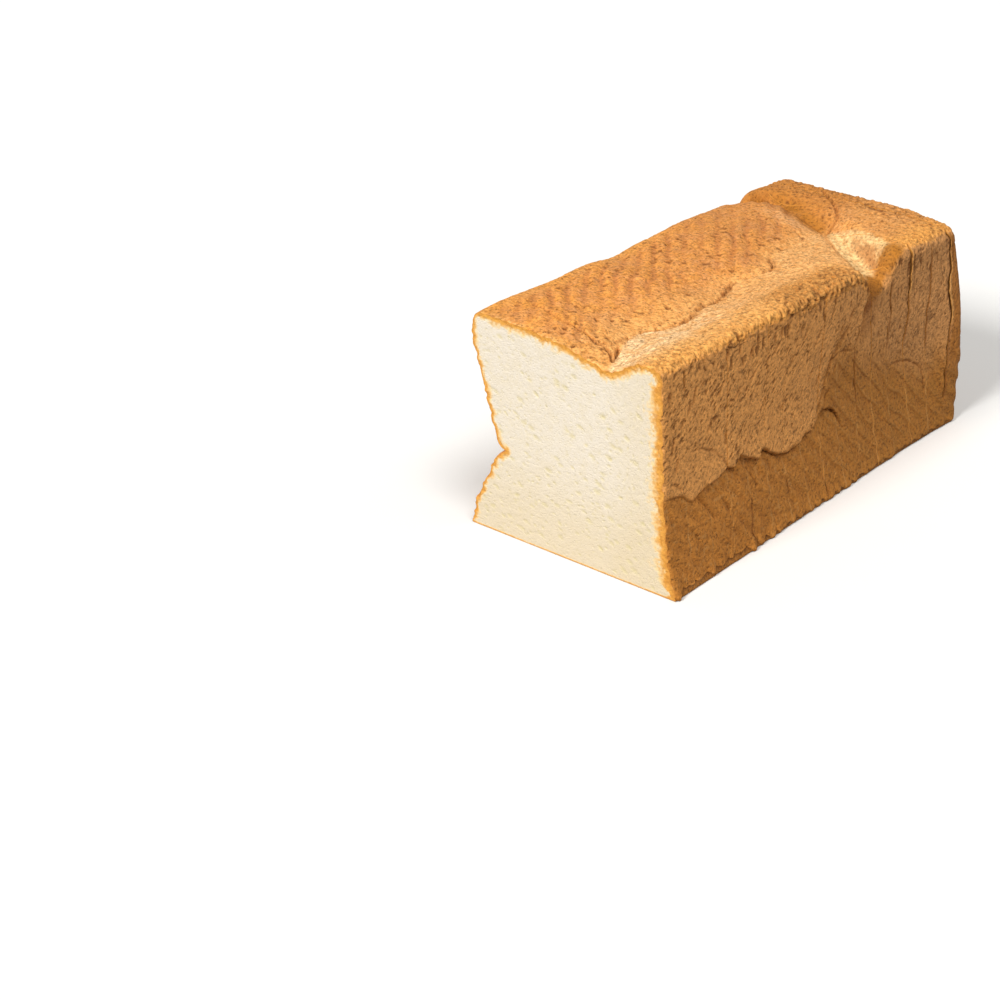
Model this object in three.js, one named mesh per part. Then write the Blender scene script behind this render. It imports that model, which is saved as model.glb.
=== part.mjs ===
// A tin loaf of white bread, cut into slices that still stand together as one block.
// Millimetres, +Z up. X runs across the loaf and Y along it: the open cut face looks along -Y
// and the crusty heel along +Y. The origin is in the middle of the base.
import * as THREE from "three";

// The block and its slices
const sliceCount = 16;
const slicePitch = 15.9; // from one cut to the next
const kerf = 0.3; // left open by the knife
const heelThickness = 13.2;
const loafLength = (sliceCount - 1) * slicePitch + heelThickness;
const slipReach = 0.7; // how far a slice has slipped sideways
const slipPhase = 2.4;
const slipStart = 0.6;
const leanPerSlice = 0.0015; // the last slices lean back a little more one after another
const firstLeaningSlice = 10;
const heelLean = 0.006;

// The section that the tin gives: a plain box, taken in towards the top
const loafHeight = 113;
const wallFoot = 58.6; // from the middle out to a wall at the base, without the flare
const rightShoulder = 55.7;
const leftShoulder = 58;
const footFlare = 6; // the crust spreads where the loaf stands
const footFlareRear = 3;
const footFlareHeight = 13;
const footRadius = 1.8;
const shoulderRadius = 7;

// Segments round the outline of a slice, and bands through its thickness
const segments = {
  base: 6,
  corner: 3,
  lowerSide: 6,
  upperSide: 8,
  roll: 10,
  plateau: 12,
  notchTop: 8,
  notchFoot: 6,
};
const bandsPerSlice = 4;

// The top of the front piece of dough: a plateau on the left, a roll on the right
const plateauHeight = 114;
const plateauEdge = -46;
const plateauPower = 2.3; // how sharply the plateau turns down into the crease
const plateauWave = { rise: 0.6, length: 11 };
const plateauHollow = { depth: 2.4, along: 98, reach: 15 };
const rollHeight = 112.6;
const rollCrest = 45;
const rollPower = 1.1;
const rollFall = { drop: 2, from: 90, to: 135 };

// The lengthwise crease between the plateau and the roll
const creaseX = 8;
const creaseDepth = 7;
const creaseFront = { shift: 11.5, reach: 18, depth: 6.6, depthReach: 16 };
const creaseSwing = { shift: 9, along: 80, reach: 26 };
const creaseEnd = { from: 150, to: 200 };

// The seam where the rear piece of dough meets the front one: a narrow valley on the left, and
// on the right a trough that widens and falls to the side of the loaf
const seamMiddle = 208; // along the loaf, at the middle of its width
const troughFront = 0.75; // how fast the foot of the front piece comes forward to the right
const troughRear = 0.5; // the same for the foot of the rear piece
const seamBow = { shift: 10, x: -42, reach: 14 };
const seamEnd = { shift: 12, from: -44, to: -58 };
const seamHeight = 104;
const seamRise = { height: 4, to: -20 }; // its floor rises to the left
const troughFall = { depth: 9, to: 52 }; // and falls to the right
const frontRounding = 6.5;
const rearRounding = { left: 4.5, right: 8, to: 20 };

// The rear piece
const rearHeight = 111.9;
const rearTilt = { front: 0.055, rear: 0.02 };
const rearFrom = 212; // its right shoulder is rounder, and its right side fuller, from here back
const rearTo = 245;
const rearShoulderFall = 4;
const rearShoulderFrom = 20;
const rearShoulderInset = 3.6;
const rearShoulderFoot = 72;
const rearBulge = { depth: 5.6, height: 45, reach: 38, from: 222, to: 252 };

// A short crease that branches back from the seam, over the rear piece
const branch ={ depth: 2.2, slope: -0.45, reach: 6, from: 202, to: 212, fadeFrom: 230, fadeTo: 248 };

// The right side: a shallow waist, a fuller band at the front, a fold and a step
const waist = { depth: 5, front: 0.5, height: 50, reach: 36, from: 20, full: 150, fade: 195, gone: 240 };
const lowerBulge = { depth: 1.8, height: 24, reach: 14, along: 60, alongReach: 40 };
const step = { depth: 3.6, along: 157, slant: 0.1, width: 2, fadeFrom: 20, fadeTo: 70, foot: 60, full: 88 };
const fold = { height: 44, wave: 2.5, waveLength: 9, wavePhase: 0.6, fadeFrom: 150, fadeTo: 225 };
const foldDip = { drop: 5, along: 102, reach: 12 };
const foldRise = { lift: 3, along: 124, reach: 8 };
const foldDepth = 1.8; // how far the crust is drawn in below the fold
const foldLip = 0.5; // how far it stands out above the fold
const foldReach = { below: 9, above: 12 };
const foldThickness = 1.4;

// The left side: one deep crease, where the wall of the loaf has been drawn in
const notch = { height: 46, depth: 19, rearDepth: 12, reachUp: 53, reachDown: 31, power: 0.9 };
const notchWave = { rise: 2, length: 37 };
const notchCusp = { share: 0.26, reach: 2.5 }; // the sharp innermost part of the crease

// The heel: a rounded edge, then a shallow dome
const heelRadius = 7;
const heelRoundingSteps = 3;
const heelDome = 0.9; // each further ring of the end face stands this much prouder
const heelDomeShare = 0.62;
const heelDomeRings = 2;

const smooth = (from, to, value) => {
  const t = THREE.MathUtils.clamp((value - from) / (to - from), 0, 1);
  return t * t * (3 - 2 * t);
};
const bump = (value, centre, reach) => Math.exp(-(((value - centre) / reach) ** 2));

// Where the lengthwise crease runs at a distance along the loaf from the cut face
const creaseLine = (along) =>
  creaseX +
  creaseFront.shift * bump(along, 0, creaseFront.reach) +
  creaseSwing.shift * bump(along, creaseSwing.along, creaseSwing.reach) -
  creaseX * smooth(creaseEnd.from, creaseEnd.to, along);

// Where the seam crosses the left half of the top
const leftSeam = (x) =>
  seamMiddle +
  seamBow.shift * bump(x, seamBow.x, seamBow.reach) -
  seamEnd.shift * smooth(seamEnd.from, seamEnd.to, x);

// Where the front piece comes down to the floor of the seam, and where the rear piece rises from it
const frontFoot = (x) => (x > 0 ? leftSeam(0) - troughFront * x : leftSeam(x));
const rearFoot = (x) => (x > 0 ? leftSeam(0) - troughRear * x : leftSeam(x));

const seamFloor = (x) =>
  seamHeight +
  seamRise.height * smooth(0, seamRise.to, x) -
  troughFall.depth * smooth(0, troughFall.to, x);

// Height of the wrinkle on the right side, below which the crust was pressed smooth by the tin
const foldLine = (along) =>
  fold.height +
  fold.wave * Math.sin(along / fold.waveLength + fold.wavePhase) -
  foldDip.drop * bump(along, foldDip.along, foldDip.reach) +
  foldRise.lift * bump(along, foldRise.along, foldRise.reach);

// Height of the sharp inward crease along the left side
const notchLine = (along) => notch.height + notchWave.rise * Math.sin(along / notchWave.length);

// Height of the front piece on each side of its crease
function frontTop(x, along) {
  const crease = creaseLine(along);
  const hollow = plateauHollow.depth * bump(along, plateauHollow.along, plateauHollow.reach);
  const plateau = plateauHeight - hollow + plateauWave.rise * Math.sin(along / plateauWave.length);
  const depth = creaseDepth + creaseFront.depth * bump(along, 0, creaseFront.depthReach);
  if (x < crease) {
    const share = THREE.MathUtils.clamp((x - plateauEdge) / (crease - plateauEdge), 0, 1);
    return plateau - depth * share ** plateauPower;
  }
  const roll = rollHeight - rollFall.drop * smooth(rollFall.from, rollFall.to, along);
  return THREE.MathUtils.lerp(plateau - depth, roll, smooth(crease, rollCrest, x) ** rollPower);
}

// Height of the rear piece, with the short crease that branches back from the seam
function rearTop(x, along) {
  const branchX = branch.slope * (along - seamMiddle);
  const branchFade = smooth(branch.from, branch.to, along) - smooth(branch.fadeFrom, branch.fadeTo, along);
  const crease = branch.depth * branchFade * bump(x, branchX, branch.reach);
  const back = smooth(rearFrom, rearTo, along);
  const fall = rearShoulderFall * smooth(rearShoulderFrom, rightShoulder, x) * back;
  return rearHeight - THREE.MathUtils.lerp(rearTilt.front, rearTilt.rear, back) * x - fall - crease;
}

// The top: both pieces fall away to the seam between them
function topHeight(x, along) {
  const floor = seamFloor(x);
  const ahead = Math.max(frontFoot(x) - along, 0);
  const behind = Math.max(along - rearFoot(x), 0);
  const toRight = smooth(0, rearRounding.to, x);
  const rearReach = THREE.MathUtils.lerp(rearRounding.left, rearRounding.right, toRight);
  const front = (frontTop(x, along) - floor) * (1 - bump(ahead, 0, frontRounding));
  const rear = (rearTop(x, along) - floor) * (1 - bump(behind, 0, rearReach));
  return floor + front + rear;
}

// How far the right side stands in from the plain wall, or out from it where the value is negative
function rightInset(z, along) {
  const rear = smooth(rearFrom, rearTo, along);
  const waistDepth =
    THREE.MathUtils.lerp(waist.front, waist.depth, smooth(waist.from, waist.full, along)) *
    (1 - smooth(waist.fade, waist.gone, along));
  const front = lowerBulge.depth * bump(z, lowerBulge.height, lowerBulge.reach);
  const behindStep = along - step.along + step.slant * (loafHeight - z);
  const stepRise = smooth(step.foot, step.full, z);
  const stepFade = 1 - smooth(step.fadeFrom, step.fadeTo, behindStep);
  const belowFold = foldLine(along) - z;
  const hollow = foldDepth * bump(belowFold, 0, foldReach.below);
  const lip = foldLip * bump(belowFold, 0, foldReach.above);
  const foldShape = belowFold > 0 ? hollow : -lip;
  return (
    waistDepth * bump(z, waist.height, waist.reach) -
    front * bump(along, lowerBulge.along, lowerBulge.alongReach) +
    step.depth * smooth(-step.width, step.width, behindStep) * stepRise * stepFade +
    foldShape * (1 - smooth(fold.fadeFrom, fold.fadeTo, along)) +
    rearShoulderInset * smooth(rearShoulderFoot, loafHeight, z) * rear -
    rearBulge.depth * bump(z, rearBulge.height, rearBulge.reach) * smooth(rearBulge.from, rearBulge.to, along)
  );
}

// How far the left side is drawn in by its crease
function leftInset(z, along) {
  const depth = THREE.MathUtils.lerp(notch.depth, notch.rearDepth, smooth(0, loafLength, along));
  const above = z - notchLine(along);
  const reach = above > 0 ? notch.reachUp : notch.reachDown;
  const slope = Math.max(1 - Math.abs(above) / reach, 0) ** notch.power;
  const cusp = Math.exp(-Math.abs(above) / notchCusp.reach);
  return depth * THREE.MathUtils.lerp(slope, cusp, notchCusp.share);
}

// Distance of a side from the middle at a height: the wall of the tin with its flare at the foot,
// less the relief of that side
function wallAt(side, z, along) {
  const shoulder = side > 0 ? rightShoulder : leftShoulder;
  const spread = THREE.MathUtils.lerp(footFlare, footFlareRear, along / loafLength);
  const flare = spread * Math.exp(-z / footFlareHeight);
  const inset = side > 0 ? rightInset(z, along) : leftInset(z, along);
  return THREE.MathUtils.lerp(wallFoot, shoulder, z / loafHeight) + flare - inset;
}

// The closed outline of the loaf at a distance along it, anticlockwise as seen from the open cut
// face. Rows of points lie on the fold, the crease and the notch, which keeps them sharp.
function outlineAt(along) {
  const points = [];
  const wall = (steps, side, fromZ, toZ) => {
    for (let i = 0; i < steps; i++) {
      const z = THREE.MathUtils.lerp(fromZ, toZ, i / steps);
      points.push(new THREE.Vector2(side * wallAt(side, z, along), z));
    }
  };
  const level = (steps, fromX, toX, heightAt) => {
    for (let i = 0; i < steps; i++) {
      const x = THREE.MathUtils.lerp(fromX, toX, i / steps);
      points.push(new THREE.Vector2(x, heightAt(x)));
    }
  };
  const corner = (side, centreZ, radius, fromAngle) => {
    for (let i = 0; i < segments.corner; i++) {
      const angle = fromAngle + ((i / segments.corner) * Math.PI) / 2;
      const z = centreZ + radius * Math.sin(angle);
      points.push(new THREE.Vector2(side * (wallAt(side, z, along) - radius) + radius * Math.cos(angle), z));
    }
  };
  const top = (x) => topHeight(x, along);
  const footAt = (side) => side * (wallAt(side, 0, along) - footRadius);
  const crownAt = (side) => side * (wallAt(side, top(side * rollCrest), along) - shoulderRadius);
  const [rightX, leftX] = [crownAt(1), crownAt(-1)];
  const [rightZ, leftZ] = [top(rightX) - shoulderRadius, top(leftX) - shoulderRadius];
  const foldHeight = foldLine(along);
  const notchAt = notchLine(along);
  const crease = creaseLine(along);

  level(segments.base, footAt(-1), footAt(1), () => 0);
  corner(1, footRadius, footRadius, -Math.PI / 2);
  wall(segments.lowerSide, 1, footRadius, foldHeight - foldThickness);
  wall(1, 1, foldHeight - foldThickness, foldHeight);
  wall(segments.upperSide, 1, foldHeight, rightZ);
  corner(1, rightZ, shoulderRadius, 0);
  level(segments.roll, rightX, crease, top);
  level(segments.plateau, crease, leftX, top);
  corner(-1, leftZ, shoulderRadius, Math.PI / 2);
  wall(segments.notchTop, -1, leftZ, notchAt);
  wall(segments.notchFoot, -1, notchAt, footRadius);
  corner(-1, footRadius, footRadius, Math.PI);
  return points;
}

// Slices have slipped a little sideways, and the last ones lean back from their neighbours
const sideSlip = (index) => slipReach * Math.sin(slipPhase * index + slipStart);
const lean = (index) =>
  leanPerSlice * Math.max(index - firstLeaningSlice, 0) + (index === sliceCount - 1 ? heelLean : 0);
const loafMiddle = (loafLength + heelDome * heelDomeRings + (lean(sliceCount - 1) * loafHeight) / 2) / 2;

// One ring of points of a slice, where its outline is shrunk by an inset towards its middle
function ringAt(index, along, outlineAlong, inset) {
  const centre = new THREE.Vector2(0, loafHeight / 2);
  return outlineAt(outlineAlong).map((point) => {
    const arm = point.clone().sub(centre);
    arm.multiplyScalar(1 - inset / arm.length());
    const { x, y: z } = arm.add(centre);
    return new THREE.Vector3(x + sideSlip(index), along - loafMiddle + lean(index) * z, z);
  });
}

// The point next inside a point of the heel's end face, on its shallow dome
function crowned(point) {
  const x = point.x * heelDomeShare;
  const z = THREE.MathUtils.lerp(loafHeight / 2, point.z, heelDomeShare);
  return new THREE.Vector3(x, point.y + heelDome, z);
}

// The rings of a slice from its front face to its back; the heel goes on round its baked end
function slicePlan(index) {
  const front = index * slicePitch + kerf / 2;
  const isHeel = index === sliceCount - 1;
  const back = isHeel ? loafLength - heelRadius : (index + 1) * slicePitch - kerf / 2;
  const rings = [];
  for (let band = 0; band <= bandsPerSlice; band++) {
    const along = THREE.MathUtils.lerp(front, back, band / bandsPerSlice);
    rings.push(ringAt(index, along, along, 0));
  }
  if (isHeel) {
    for (let turn = 1; turn <= heelRoundingSteps; turn++) {
      const angle = ((turn / heelRoundingSteps) * Math.PI) / 2;
      const along = back + heelRadius * Math.sin(angle);
      rings.push(ringAt(index, along, back, heelRadius * (1 - Math.cos(angle))));
    }
    for (let ring = 0; ring < heelDomeRings; ring++) {
      rings.push(rings.at(-1).map(crowned));
    }
  }
  return rings;
}

// A closed solid from rings of points: crust bands between the rings, and a flat face at each end
function solidFrom(rings) {
  const count = rings[0].length;
  const indices = [];
  for (let ring = 0; ring < rings.length - 1; ring++) {
    for (let i = 0; i < count; i++) {
      const here = ring * count + i;
      const next = ring * count + ((i + 1) % count);
      indices.push(here, here + count, next, next, here + count, next + count);
    }
  }
  const last = (rings.length - 1) * count;
  const flat = (ring) => ring.map((point) => new THREE.Vector2(point.x, point.z));
  for (const [a, b, c] of THREE.ShapeUtils.triangulateShape(flat(rings[0]), [])) {
    indices.push(a, b, c);
  }
  for (const [a, b, c] of THREE.ShapeUtils.triangulateShape(flat(rings.at(-1)), [])) {
    indices.push(last + a, last + c, last + b);
  }
  const geometry = new THREE.BufferGeometry().setFromPoints(rings.flat());
  geometry.setIndex(indices);
  geometry.computeVertexNormals();
  return geometry;
}

const crustColour = 0xc08544;
const crumbColour = 0xf4e8d2;

const loaf = new THREE.Group();
for (let index = 0; index < sliceCount; index++) {
  const colour = index === 0 ? crumbColour : crustColour;
  const finish = new THREE.MeshStandardMaterial({ color: colour, roughness: 0.85, metalness: 0 });
  const slice = new THREE.Mesh(solidFrom(slicePlan(index)), finish);
  slice.name = `slice_${String(index + 1).padStart(2, "0")}`;
  loaf.add(slice);
}

export default loaf;
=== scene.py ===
import math
from types import SimpleNamespace

import bpy
import numpy as np
from mathutils import Matrix


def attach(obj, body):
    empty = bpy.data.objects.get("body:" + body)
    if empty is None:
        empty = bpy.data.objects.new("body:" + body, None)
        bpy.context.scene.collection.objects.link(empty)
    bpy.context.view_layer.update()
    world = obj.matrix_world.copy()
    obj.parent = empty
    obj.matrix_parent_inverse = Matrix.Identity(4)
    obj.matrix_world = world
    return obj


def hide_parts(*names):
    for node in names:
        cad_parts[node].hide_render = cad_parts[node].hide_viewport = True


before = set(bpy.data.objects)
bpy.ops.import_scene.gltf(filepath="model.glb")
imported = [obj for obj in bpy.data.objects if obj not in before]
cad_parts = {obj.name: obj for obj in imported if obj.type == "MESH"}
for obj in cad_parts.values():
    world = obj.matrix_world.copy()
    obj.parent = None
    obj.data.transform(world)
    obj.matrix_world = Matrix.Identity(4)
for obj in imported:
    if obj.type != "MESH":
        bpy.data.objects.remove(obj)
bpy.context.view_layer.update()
metres = 0.001
print("stage: frame loaded")


# Camera, at the height and distance of someone looking down at the front right corner
cameraSet = {
    "place": (0.52336, -0.72779, 0.44509),
    "yaw": 133.36,  # degrees from +X to the way it looks, seen from above
    "pitch": 27.33,  # degrees down
    "roll": -2.41,
    "lens": 68.88,
    "sensor": 36.0,
}


# Rotation in words: turn about Z by yaw less 90, tip about X by 90 less pitch, roll about its own axis
def addCamera(values):
    data = bpy.data.cameras.new("camera")
    data.lens = values["lens"]
    data.sensor_width = values["sensor"]
    data.clip_start = 0.01
    data.clip_end = 50
    camera = bpy.data.objects.new("camera", data)
    turn = Matrix.Rotation(math.radians(values["yaw"] - 90), 4, "Z")
    tip = Matrix.Rotation(math.radians(90 - values["pitch"]), 4, "X")
    roll = Matrix.Rotation(math.radians(values["roll"]), 4, "Z")
    camera.matrix_world = Matrix.Translation(values["place"]) @ turn @ tip @ roll
    bpy.context.scene.collection.objects.link(camera)
    bpy.context.scene.camera = camera


addCamera(cameraSet)


# Light: a broad soft key from in front, a weaker lamp over the right side, one from behind, a pale room
lightSet = {
    "key": {"direction": (-0.02, -0.80, 0.60), "softness": 18.0, "strength": 2.75},
    "over": {"direction": (0.46, -0.22, 0.86), "softness": 22.0, "strength": 1.35},
    "back": {"direction": (0.35, 0.80, 0.55), "softness": 50.0, "strength": 0.3},
    "lampColour": (1.0, 0.985, 0.955),
    "room": (1.0, 0.985, 0.96),
    "roomStrength": 0.24,
}


# Lamp in words: its beam comes down along its direction, spread over its softness in degrees
def addLamp(name, values, colour):
    data = bpy.data.lights.new(name, "SUN")
    data.angle = math.radians(values["softness"])
    data.energy = values["strength"]
    data.color = colour
    lamp = bpy.data.objects.new(name, data)
    x, y, z = values["direction"]
    turn = Matrix.Rotation(math.atan2(-y, -x) - math.pi / 2, 4, "Z")
    tip = Matrix.Rotation(math.pi / 2 - math.atan2(z, math.hypot(x, y)), 4, "X")
    lamp.matrix_world = Matrix.Translation((x, y, z)) @ turn @ tip
    bpy.context.scene.collection.objects.link(lamp)


addLamp("keyLamp", lightSet["key"], lightSet["lampColour"])
addLamp("overLamp", lightSet["over"], lightSet["lampColour"])
addLamp("backLamp", lightSet["back"], lightSet["lampColour"])
room = bpy.data.worlds.new("room")
room.use_nodes = True
room.node_tree.nodes["Background"].inputs["Color"].default_value = (*lightSet["room"], 1)
room.node_tree.nodes["Background"].inputs["Strength"].default_value = lightSet["roomStrength"]
bpy.context.scene.world = room
bpy.context.scene.view_settings.view_transform = "Standard"
print("stage: camera and light")


# Curve in words: 0 before start, 1 after end, and 3t^2 - 2t^3 between them
def smooth(start, end, value):
    t = np.clip((value - start) / (end - start), 0, 1)
    return t * t * (3 - 2 * t)


# Curve in words: a bell, 1 at the centre, falling as exp(-distance^2) in units of reach
def bump(value, centre, reach):
    return np.exp(-(((value - centre) / reach) ** 2))


# Straight blend from a to b
def blend(a, b, share):
    return a + (b - a) * share


# Hash in words: whole cell numbers times odd constants, mixed by shifts, give an even spread 0 to 1
def scatter(i, j, k, seed):
    h = i * np.uint32(374761393) + j * np.uint32(668265263) + k * np.uint32(2246822519)
    h = (h + np.uint32(seed * 7919)) * np.uint32(3266489917)
    h = (h ^ (h >> np.uint32(15))) * np.uint32(2654435761)
    h = (h ^ (h >> np.uint32(13))) * np.uint32(1274126177)
    return ((h ^ (h >> np.uint32(16))) & np.uint32(65535)) / 65535.0


def wholeCells(value):
    return np.floor(value).astype(np.int64).astype(np.uint32)


# Noise in words: random values at the corners of unit cells, blended with 6t^5 - 15t^4 + 10t^3,
# from -1 to 1
def noise(a, b, c, seed):
    a, b, c = np.broadcast_arrays(*(np.asarray(v, float) for v in (a, b, c)))
    cells = [wholeCells(v) for v in (a, b, c)]
    shares = []
    for v in (a, b, c):
        t = v - np.floor(v)
        shares.append(t * t * t * (t * (6 * t - 15) + 10))
    total = np.zeros(a.shape)
    for corner in range(8):
        di, dj, dk = corner & 1, (corner >> 1) & 1, corner >> 2
        weight = np.ones(a.shape)
        for step, share in zip((di, dj, dk), shares):
            weight = weight * (share if step else 1 - share)
        i, j, k = (cell + np.uint32(step) for cell, step in zip(cells, (di, dj, dk)))
        total += weight * scatter(i, j, k, seed)
    return 2 * total - 1


# Noise of several sizes in words: each octave is half as large and half as strong, turned a little
def cloud(a, b, c, seed, octaves=3):
    total = 0
    strength = 1.0
    for octave in range(octaves):
        total = total + strength * noise(a, b, c, seed + octave)
        a, b, c = 1.6 * a + 1.2 * b, 1.6 * b - 1.2 * a, 2 * c + 0.37
        strength *= 0.5
    return total / (2 - 2 ** (1 - octaves))


# Dents in words: one at a random spot in a share of the unit cells, of random radius, each
# 1 - (distance / radius)^2, the deepest one counting
def dents(a, b, seed, share, radius):
    i, j = wholeCells(a), wholeCells(b)
    base = [np.floor(a), np.floor(b)]
    deepest = np.zeros(np.shape(a))
    flat = np.uint32(0)
    for di in (-1, 0, 1):
        for dj in (-1, 0, 1):
            ci, cj = i + np.uint32(di % 2**32), j + np.uint32(dj % 2**32)
            spotA = base[0] + di + scatter(ci, cj, flat, seed)
            spotB = base[1] + dj + scatter(ci, cj, flat + np.uint32(1), seed)
            size = radius * (0.45 + 0.55 * scatter(ci, cj, flat + np.uint32(2), seed))
            there = scatter(ci, cj, flat + np.uint32(3), seed) < share
            away = ((a - spotA) ** 2 + (b - spotB) ** 2) / size**2
            deepest = np.maximum(deepest, np.where(there, np.clip(1 - away, 0, 1), 0))
    return deepest


# Ragged holes in words: where noise of two sizes falls below a level, deepening over a short way
def ragged(a, b, seed, level):
    value = noise(a, b, 0.0, seed) + 0.6 * noise(2.1 * a + 0.3, 2.1 * b, 0.0, seed + 1)
    return smooth(level, level - 0.4, value)


# Distance in words: from each point (a, b) to the nearest of the straight lines that join the
# points of a path, and how far along the path that nearest place is, in point numbers
def pathDistance(a, b, path):
    nearest = np.full(np.shape(a), 1e9)
    reached = np.zeros(np.shape(a))
    for number, ((a0, b0), (a1, b1)) in enumerate(zip(path[:-1], path[1:])):
        da, db = a1 - a0, b1 - b0
        t = np.clip(((a - a0) * da + (b - b0) * db) / (da * da + db * db), 0, 1)
        away = np.hypot(a - a0 - t * da, b - b0 - t * db)
        closer = away < nearest
        nearest = np.where(closer, away, nearest)
        reached = np.where(closer, number + t, reached)
    return nearest, reached


# Value of a path in words: straight lines between its points, read off at a place given in its first
# measure, or in its second when that is asked for
def follow(path, value, measure=0):
    columns = list(zip(*path))
    return np.interp(value, columns[measure], columns[1 - measure])


# Marks in words: a bell over each listed place, long one way and narrow across, turned by an angle
def marks(a, b, places, length, width, angle):
    ca, sa = math.cos(math.radians(angle)), math.sin(math.radians(angle))
    deepest = np.zeros(np.shape(a))
    for a0, b0 in places:
        lengthwise = (a - a0) * ca + (b - b0) * sa
        across = (b - b0) * ca - (a - a0) * sa
        deepest = np.maximum(deepest, np.exp(-((lengthwise / length) ** 2) - (across / width) ** 2))
    return deepest


# The block and its slices
block = {
    "slices": 16,
    "pitch": 15.9,
    "kerf": 0.3,
    "heelThickness": 13.2,
    "slipReach": 0.12,
    "slipPhase": 2.4,
    "slipStart": 0.6,
    "leanPerSlice": 0.0015,
    "firstLeaningSlice": 10,
    "heelLean": 0.006,
    "height": 113.0,
}
loafLength = (block["slices"] - 1) * block["pitch"] + block["heelThickness"]

# The section that the tin gives, and the points round it
section = {
    "wallFoot": 58.6,
    "rightShoulder": 55.7,
    "leftShoulder": 58.0,
    "footFlare": 6.0,
    "footFlareRear": 3.0,
    "footFlareHeight": 13.0,
    "footRadius": 1.8,
    "rightRadius": 4.5,
    "rightRadiusRear": 7.0,
    "leftRadius": 7.0,
    "footPoints": 8,
    "wallPoints": 200,
    "shoulderPoints": 22,
    "rollPoints": 92,
    "topPoints": 230,
}
sidePoints = section["footPoints"] + section["wallPoints"] + section["shoulderPoints"]
topPoints = section["topPoints"]
outlineCount = 2 * topPoints + 2 * sidePoints

# The front piece of dough: a plateau on the left, a roll on the right, and the crease between them
front = {
    "plateau": 114.0,
    "plateauEdge": -46.0,
    "plateauPower": 2.3,
    "waveRise": 0.6,
    "waveLength": 11.0,
    "hollow": 2.4,
    "hollowAlong": 98.0,
    "hollowReach": 15.0,
    "roll": 112.6,
    "rollCrest": 45.0,
    "rollPower": 1.1,
    "rollDrop": 2.0,
    "rollFrom": 90.0,
    "rollTo": 135.0,
    "creaseDepth": 7.0,
    "creaseFrontDepth": 2.2,
    "creaseFrontReach": 16.0,
}
# The crease, as (distance across, distance along)
creasePath = [
    (24, 0), (21.6, 8), (19.8, 11.5), (15.3, 22), (11.6, 33), (13, 42), (17.6, 49), (19.6, 58),
    (20, 68), (17.3, 77), (15.1, 91), (14.6, 96), (11.5, 106.5), (8.3, 115), (9.5, 121.5), (11.1, 128.5),
    (12.6, 137), (12, 145), (5.8, 151), (3.4, 159), (2, 172), (1, 186), (0, 200), (0, 260),
]

# The seam between the front and the rear piece, which opens into a trough on the right
seam = {
    "middle": 208.0,
    "troughFront": 0.75,
    "troughRear": 0.5,
    "bowShift": 13.0,
    "bowX": -36.0,
    "bowReach": 17.0,
    "endShift": 12.0,
    "endFrom": -44.0,
    "endTo": -58.0,
    "height": 104.0,
    "rise": 4.0,
    "riseTo": -20.0,
    "fall": 9.0,
    "fallTo": 52.0,
    "frontRounding": 6.5,
    "frontRoundingLeft": 9.5,
    "rearRoundingLeft": 5.0,
    "rearRoundingMiddle": 9.5,
    "rearRoundingRight": 8.0,
    "rearRoundingTo": 20.0,
}

# The rear piece, and the short crease that branches over it
rear = {
    "height": 111.9,
    "tiltFront": 0.055,
    "tiltRear": 0.02,
    "start": 212.0,
    "end": 245.0,
    "shoulderFall": 4.0,
    "shoulderFrom": 20.0,
    "shoulderInset": 3.6,
    "shoulderFoot": 72.0,
    "bulge": 5.6,
    "bulgeHeight": 45.0,
    "bulgeReach": 38.0,
    "bulgeFrom": 222.0,
    "bulgeTo": 252.0,
    "branchDepth": 0.4,
    "branchReach": 2.0,
}
branchPath = [(1.5, 202), (1.4, 212), (0.7, 217), (-3.6, 224), (-10.8, 231), (-18.7, 237), (-26, 246)]

# The right side: waist, fuller band, step, and the wrinkle below which the tin pressed it smooth
flank = {
    "waist": 5.0,
    "waistFront": 0.5,
    "waistHeight": 50.0,
    "waistReach": 36.0,
    "waistFrom": 20.0,
    "waistFull": 150.0,
    "waistFade": 195.0,
    "waistGone": 240.0,
    "bulge": 1.8,
    "bulgeHeight": 24.0,
    "bulgeReach": 14.0,
    "bulgeAlong": 60.0,
    "bulgeAlongReach": 40.0,
    "step": 3.6,
    "stepWidth": 1.3,
    "stepFadeFrom": 20.0,
    "stepFadeTo": 70.0,
    "stepFoot": 60.0,
    "stepFull": 88.0,
    "foldDepth": 1.8,
    "foldLip": 0.5,
    "foldBelow": 9.0,
    "foldAbove": 12.0,
    "foldEdge": 0.55,
    "foldStartShare": 0.25,
    "foldStartFrom": 12.0,
    "foldStartTo": 45.0,
    "foldFadeFrom": 137.0,
    "foldFadeTo": 150.0,
}
# Where the step runs down the right side, as (height, distance along)
stepPath = [
    (0, 150), (60, 156), (73, 160), (78, 162), (85, 163), (90, 164), (96, 167.5), (102, 166), (113, 166),
]
# The wrinkle on the right side, as (distance along, height)
wrinklePath = [
    (0, 50), (5.3, 48.6), (12.5, 47.3), (16, 44), (19.9, 41.4), (25.1, 43.6), (31, 44.6), (40.4, 45.2),
    (47.4, 48), (50, 46.6), (54.2, 45.4), (56.6, 48.6), (58.2, 50), (63.4, 47), (70, 43.4),
    (75, 41.4), (76.6, 45.6), (80.2, 44.2), (86, 40), (91.4, 37.4), (98, 35.8), (105.5, 35.8),
    (109.5, 36.4), (114.4, 38.4), (119.6, 38.4), (122.4, 38.6), (125.4, 40.6), (127.4, 43.6),
    (130.8, 45.6), (134.4, 45.4), (139, 43.8), (142.6, 40.6), (145.2, 36), (147.8, 31), (156, 30),
    (190, 40), (215, 42), (260, 42),
]

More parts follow.
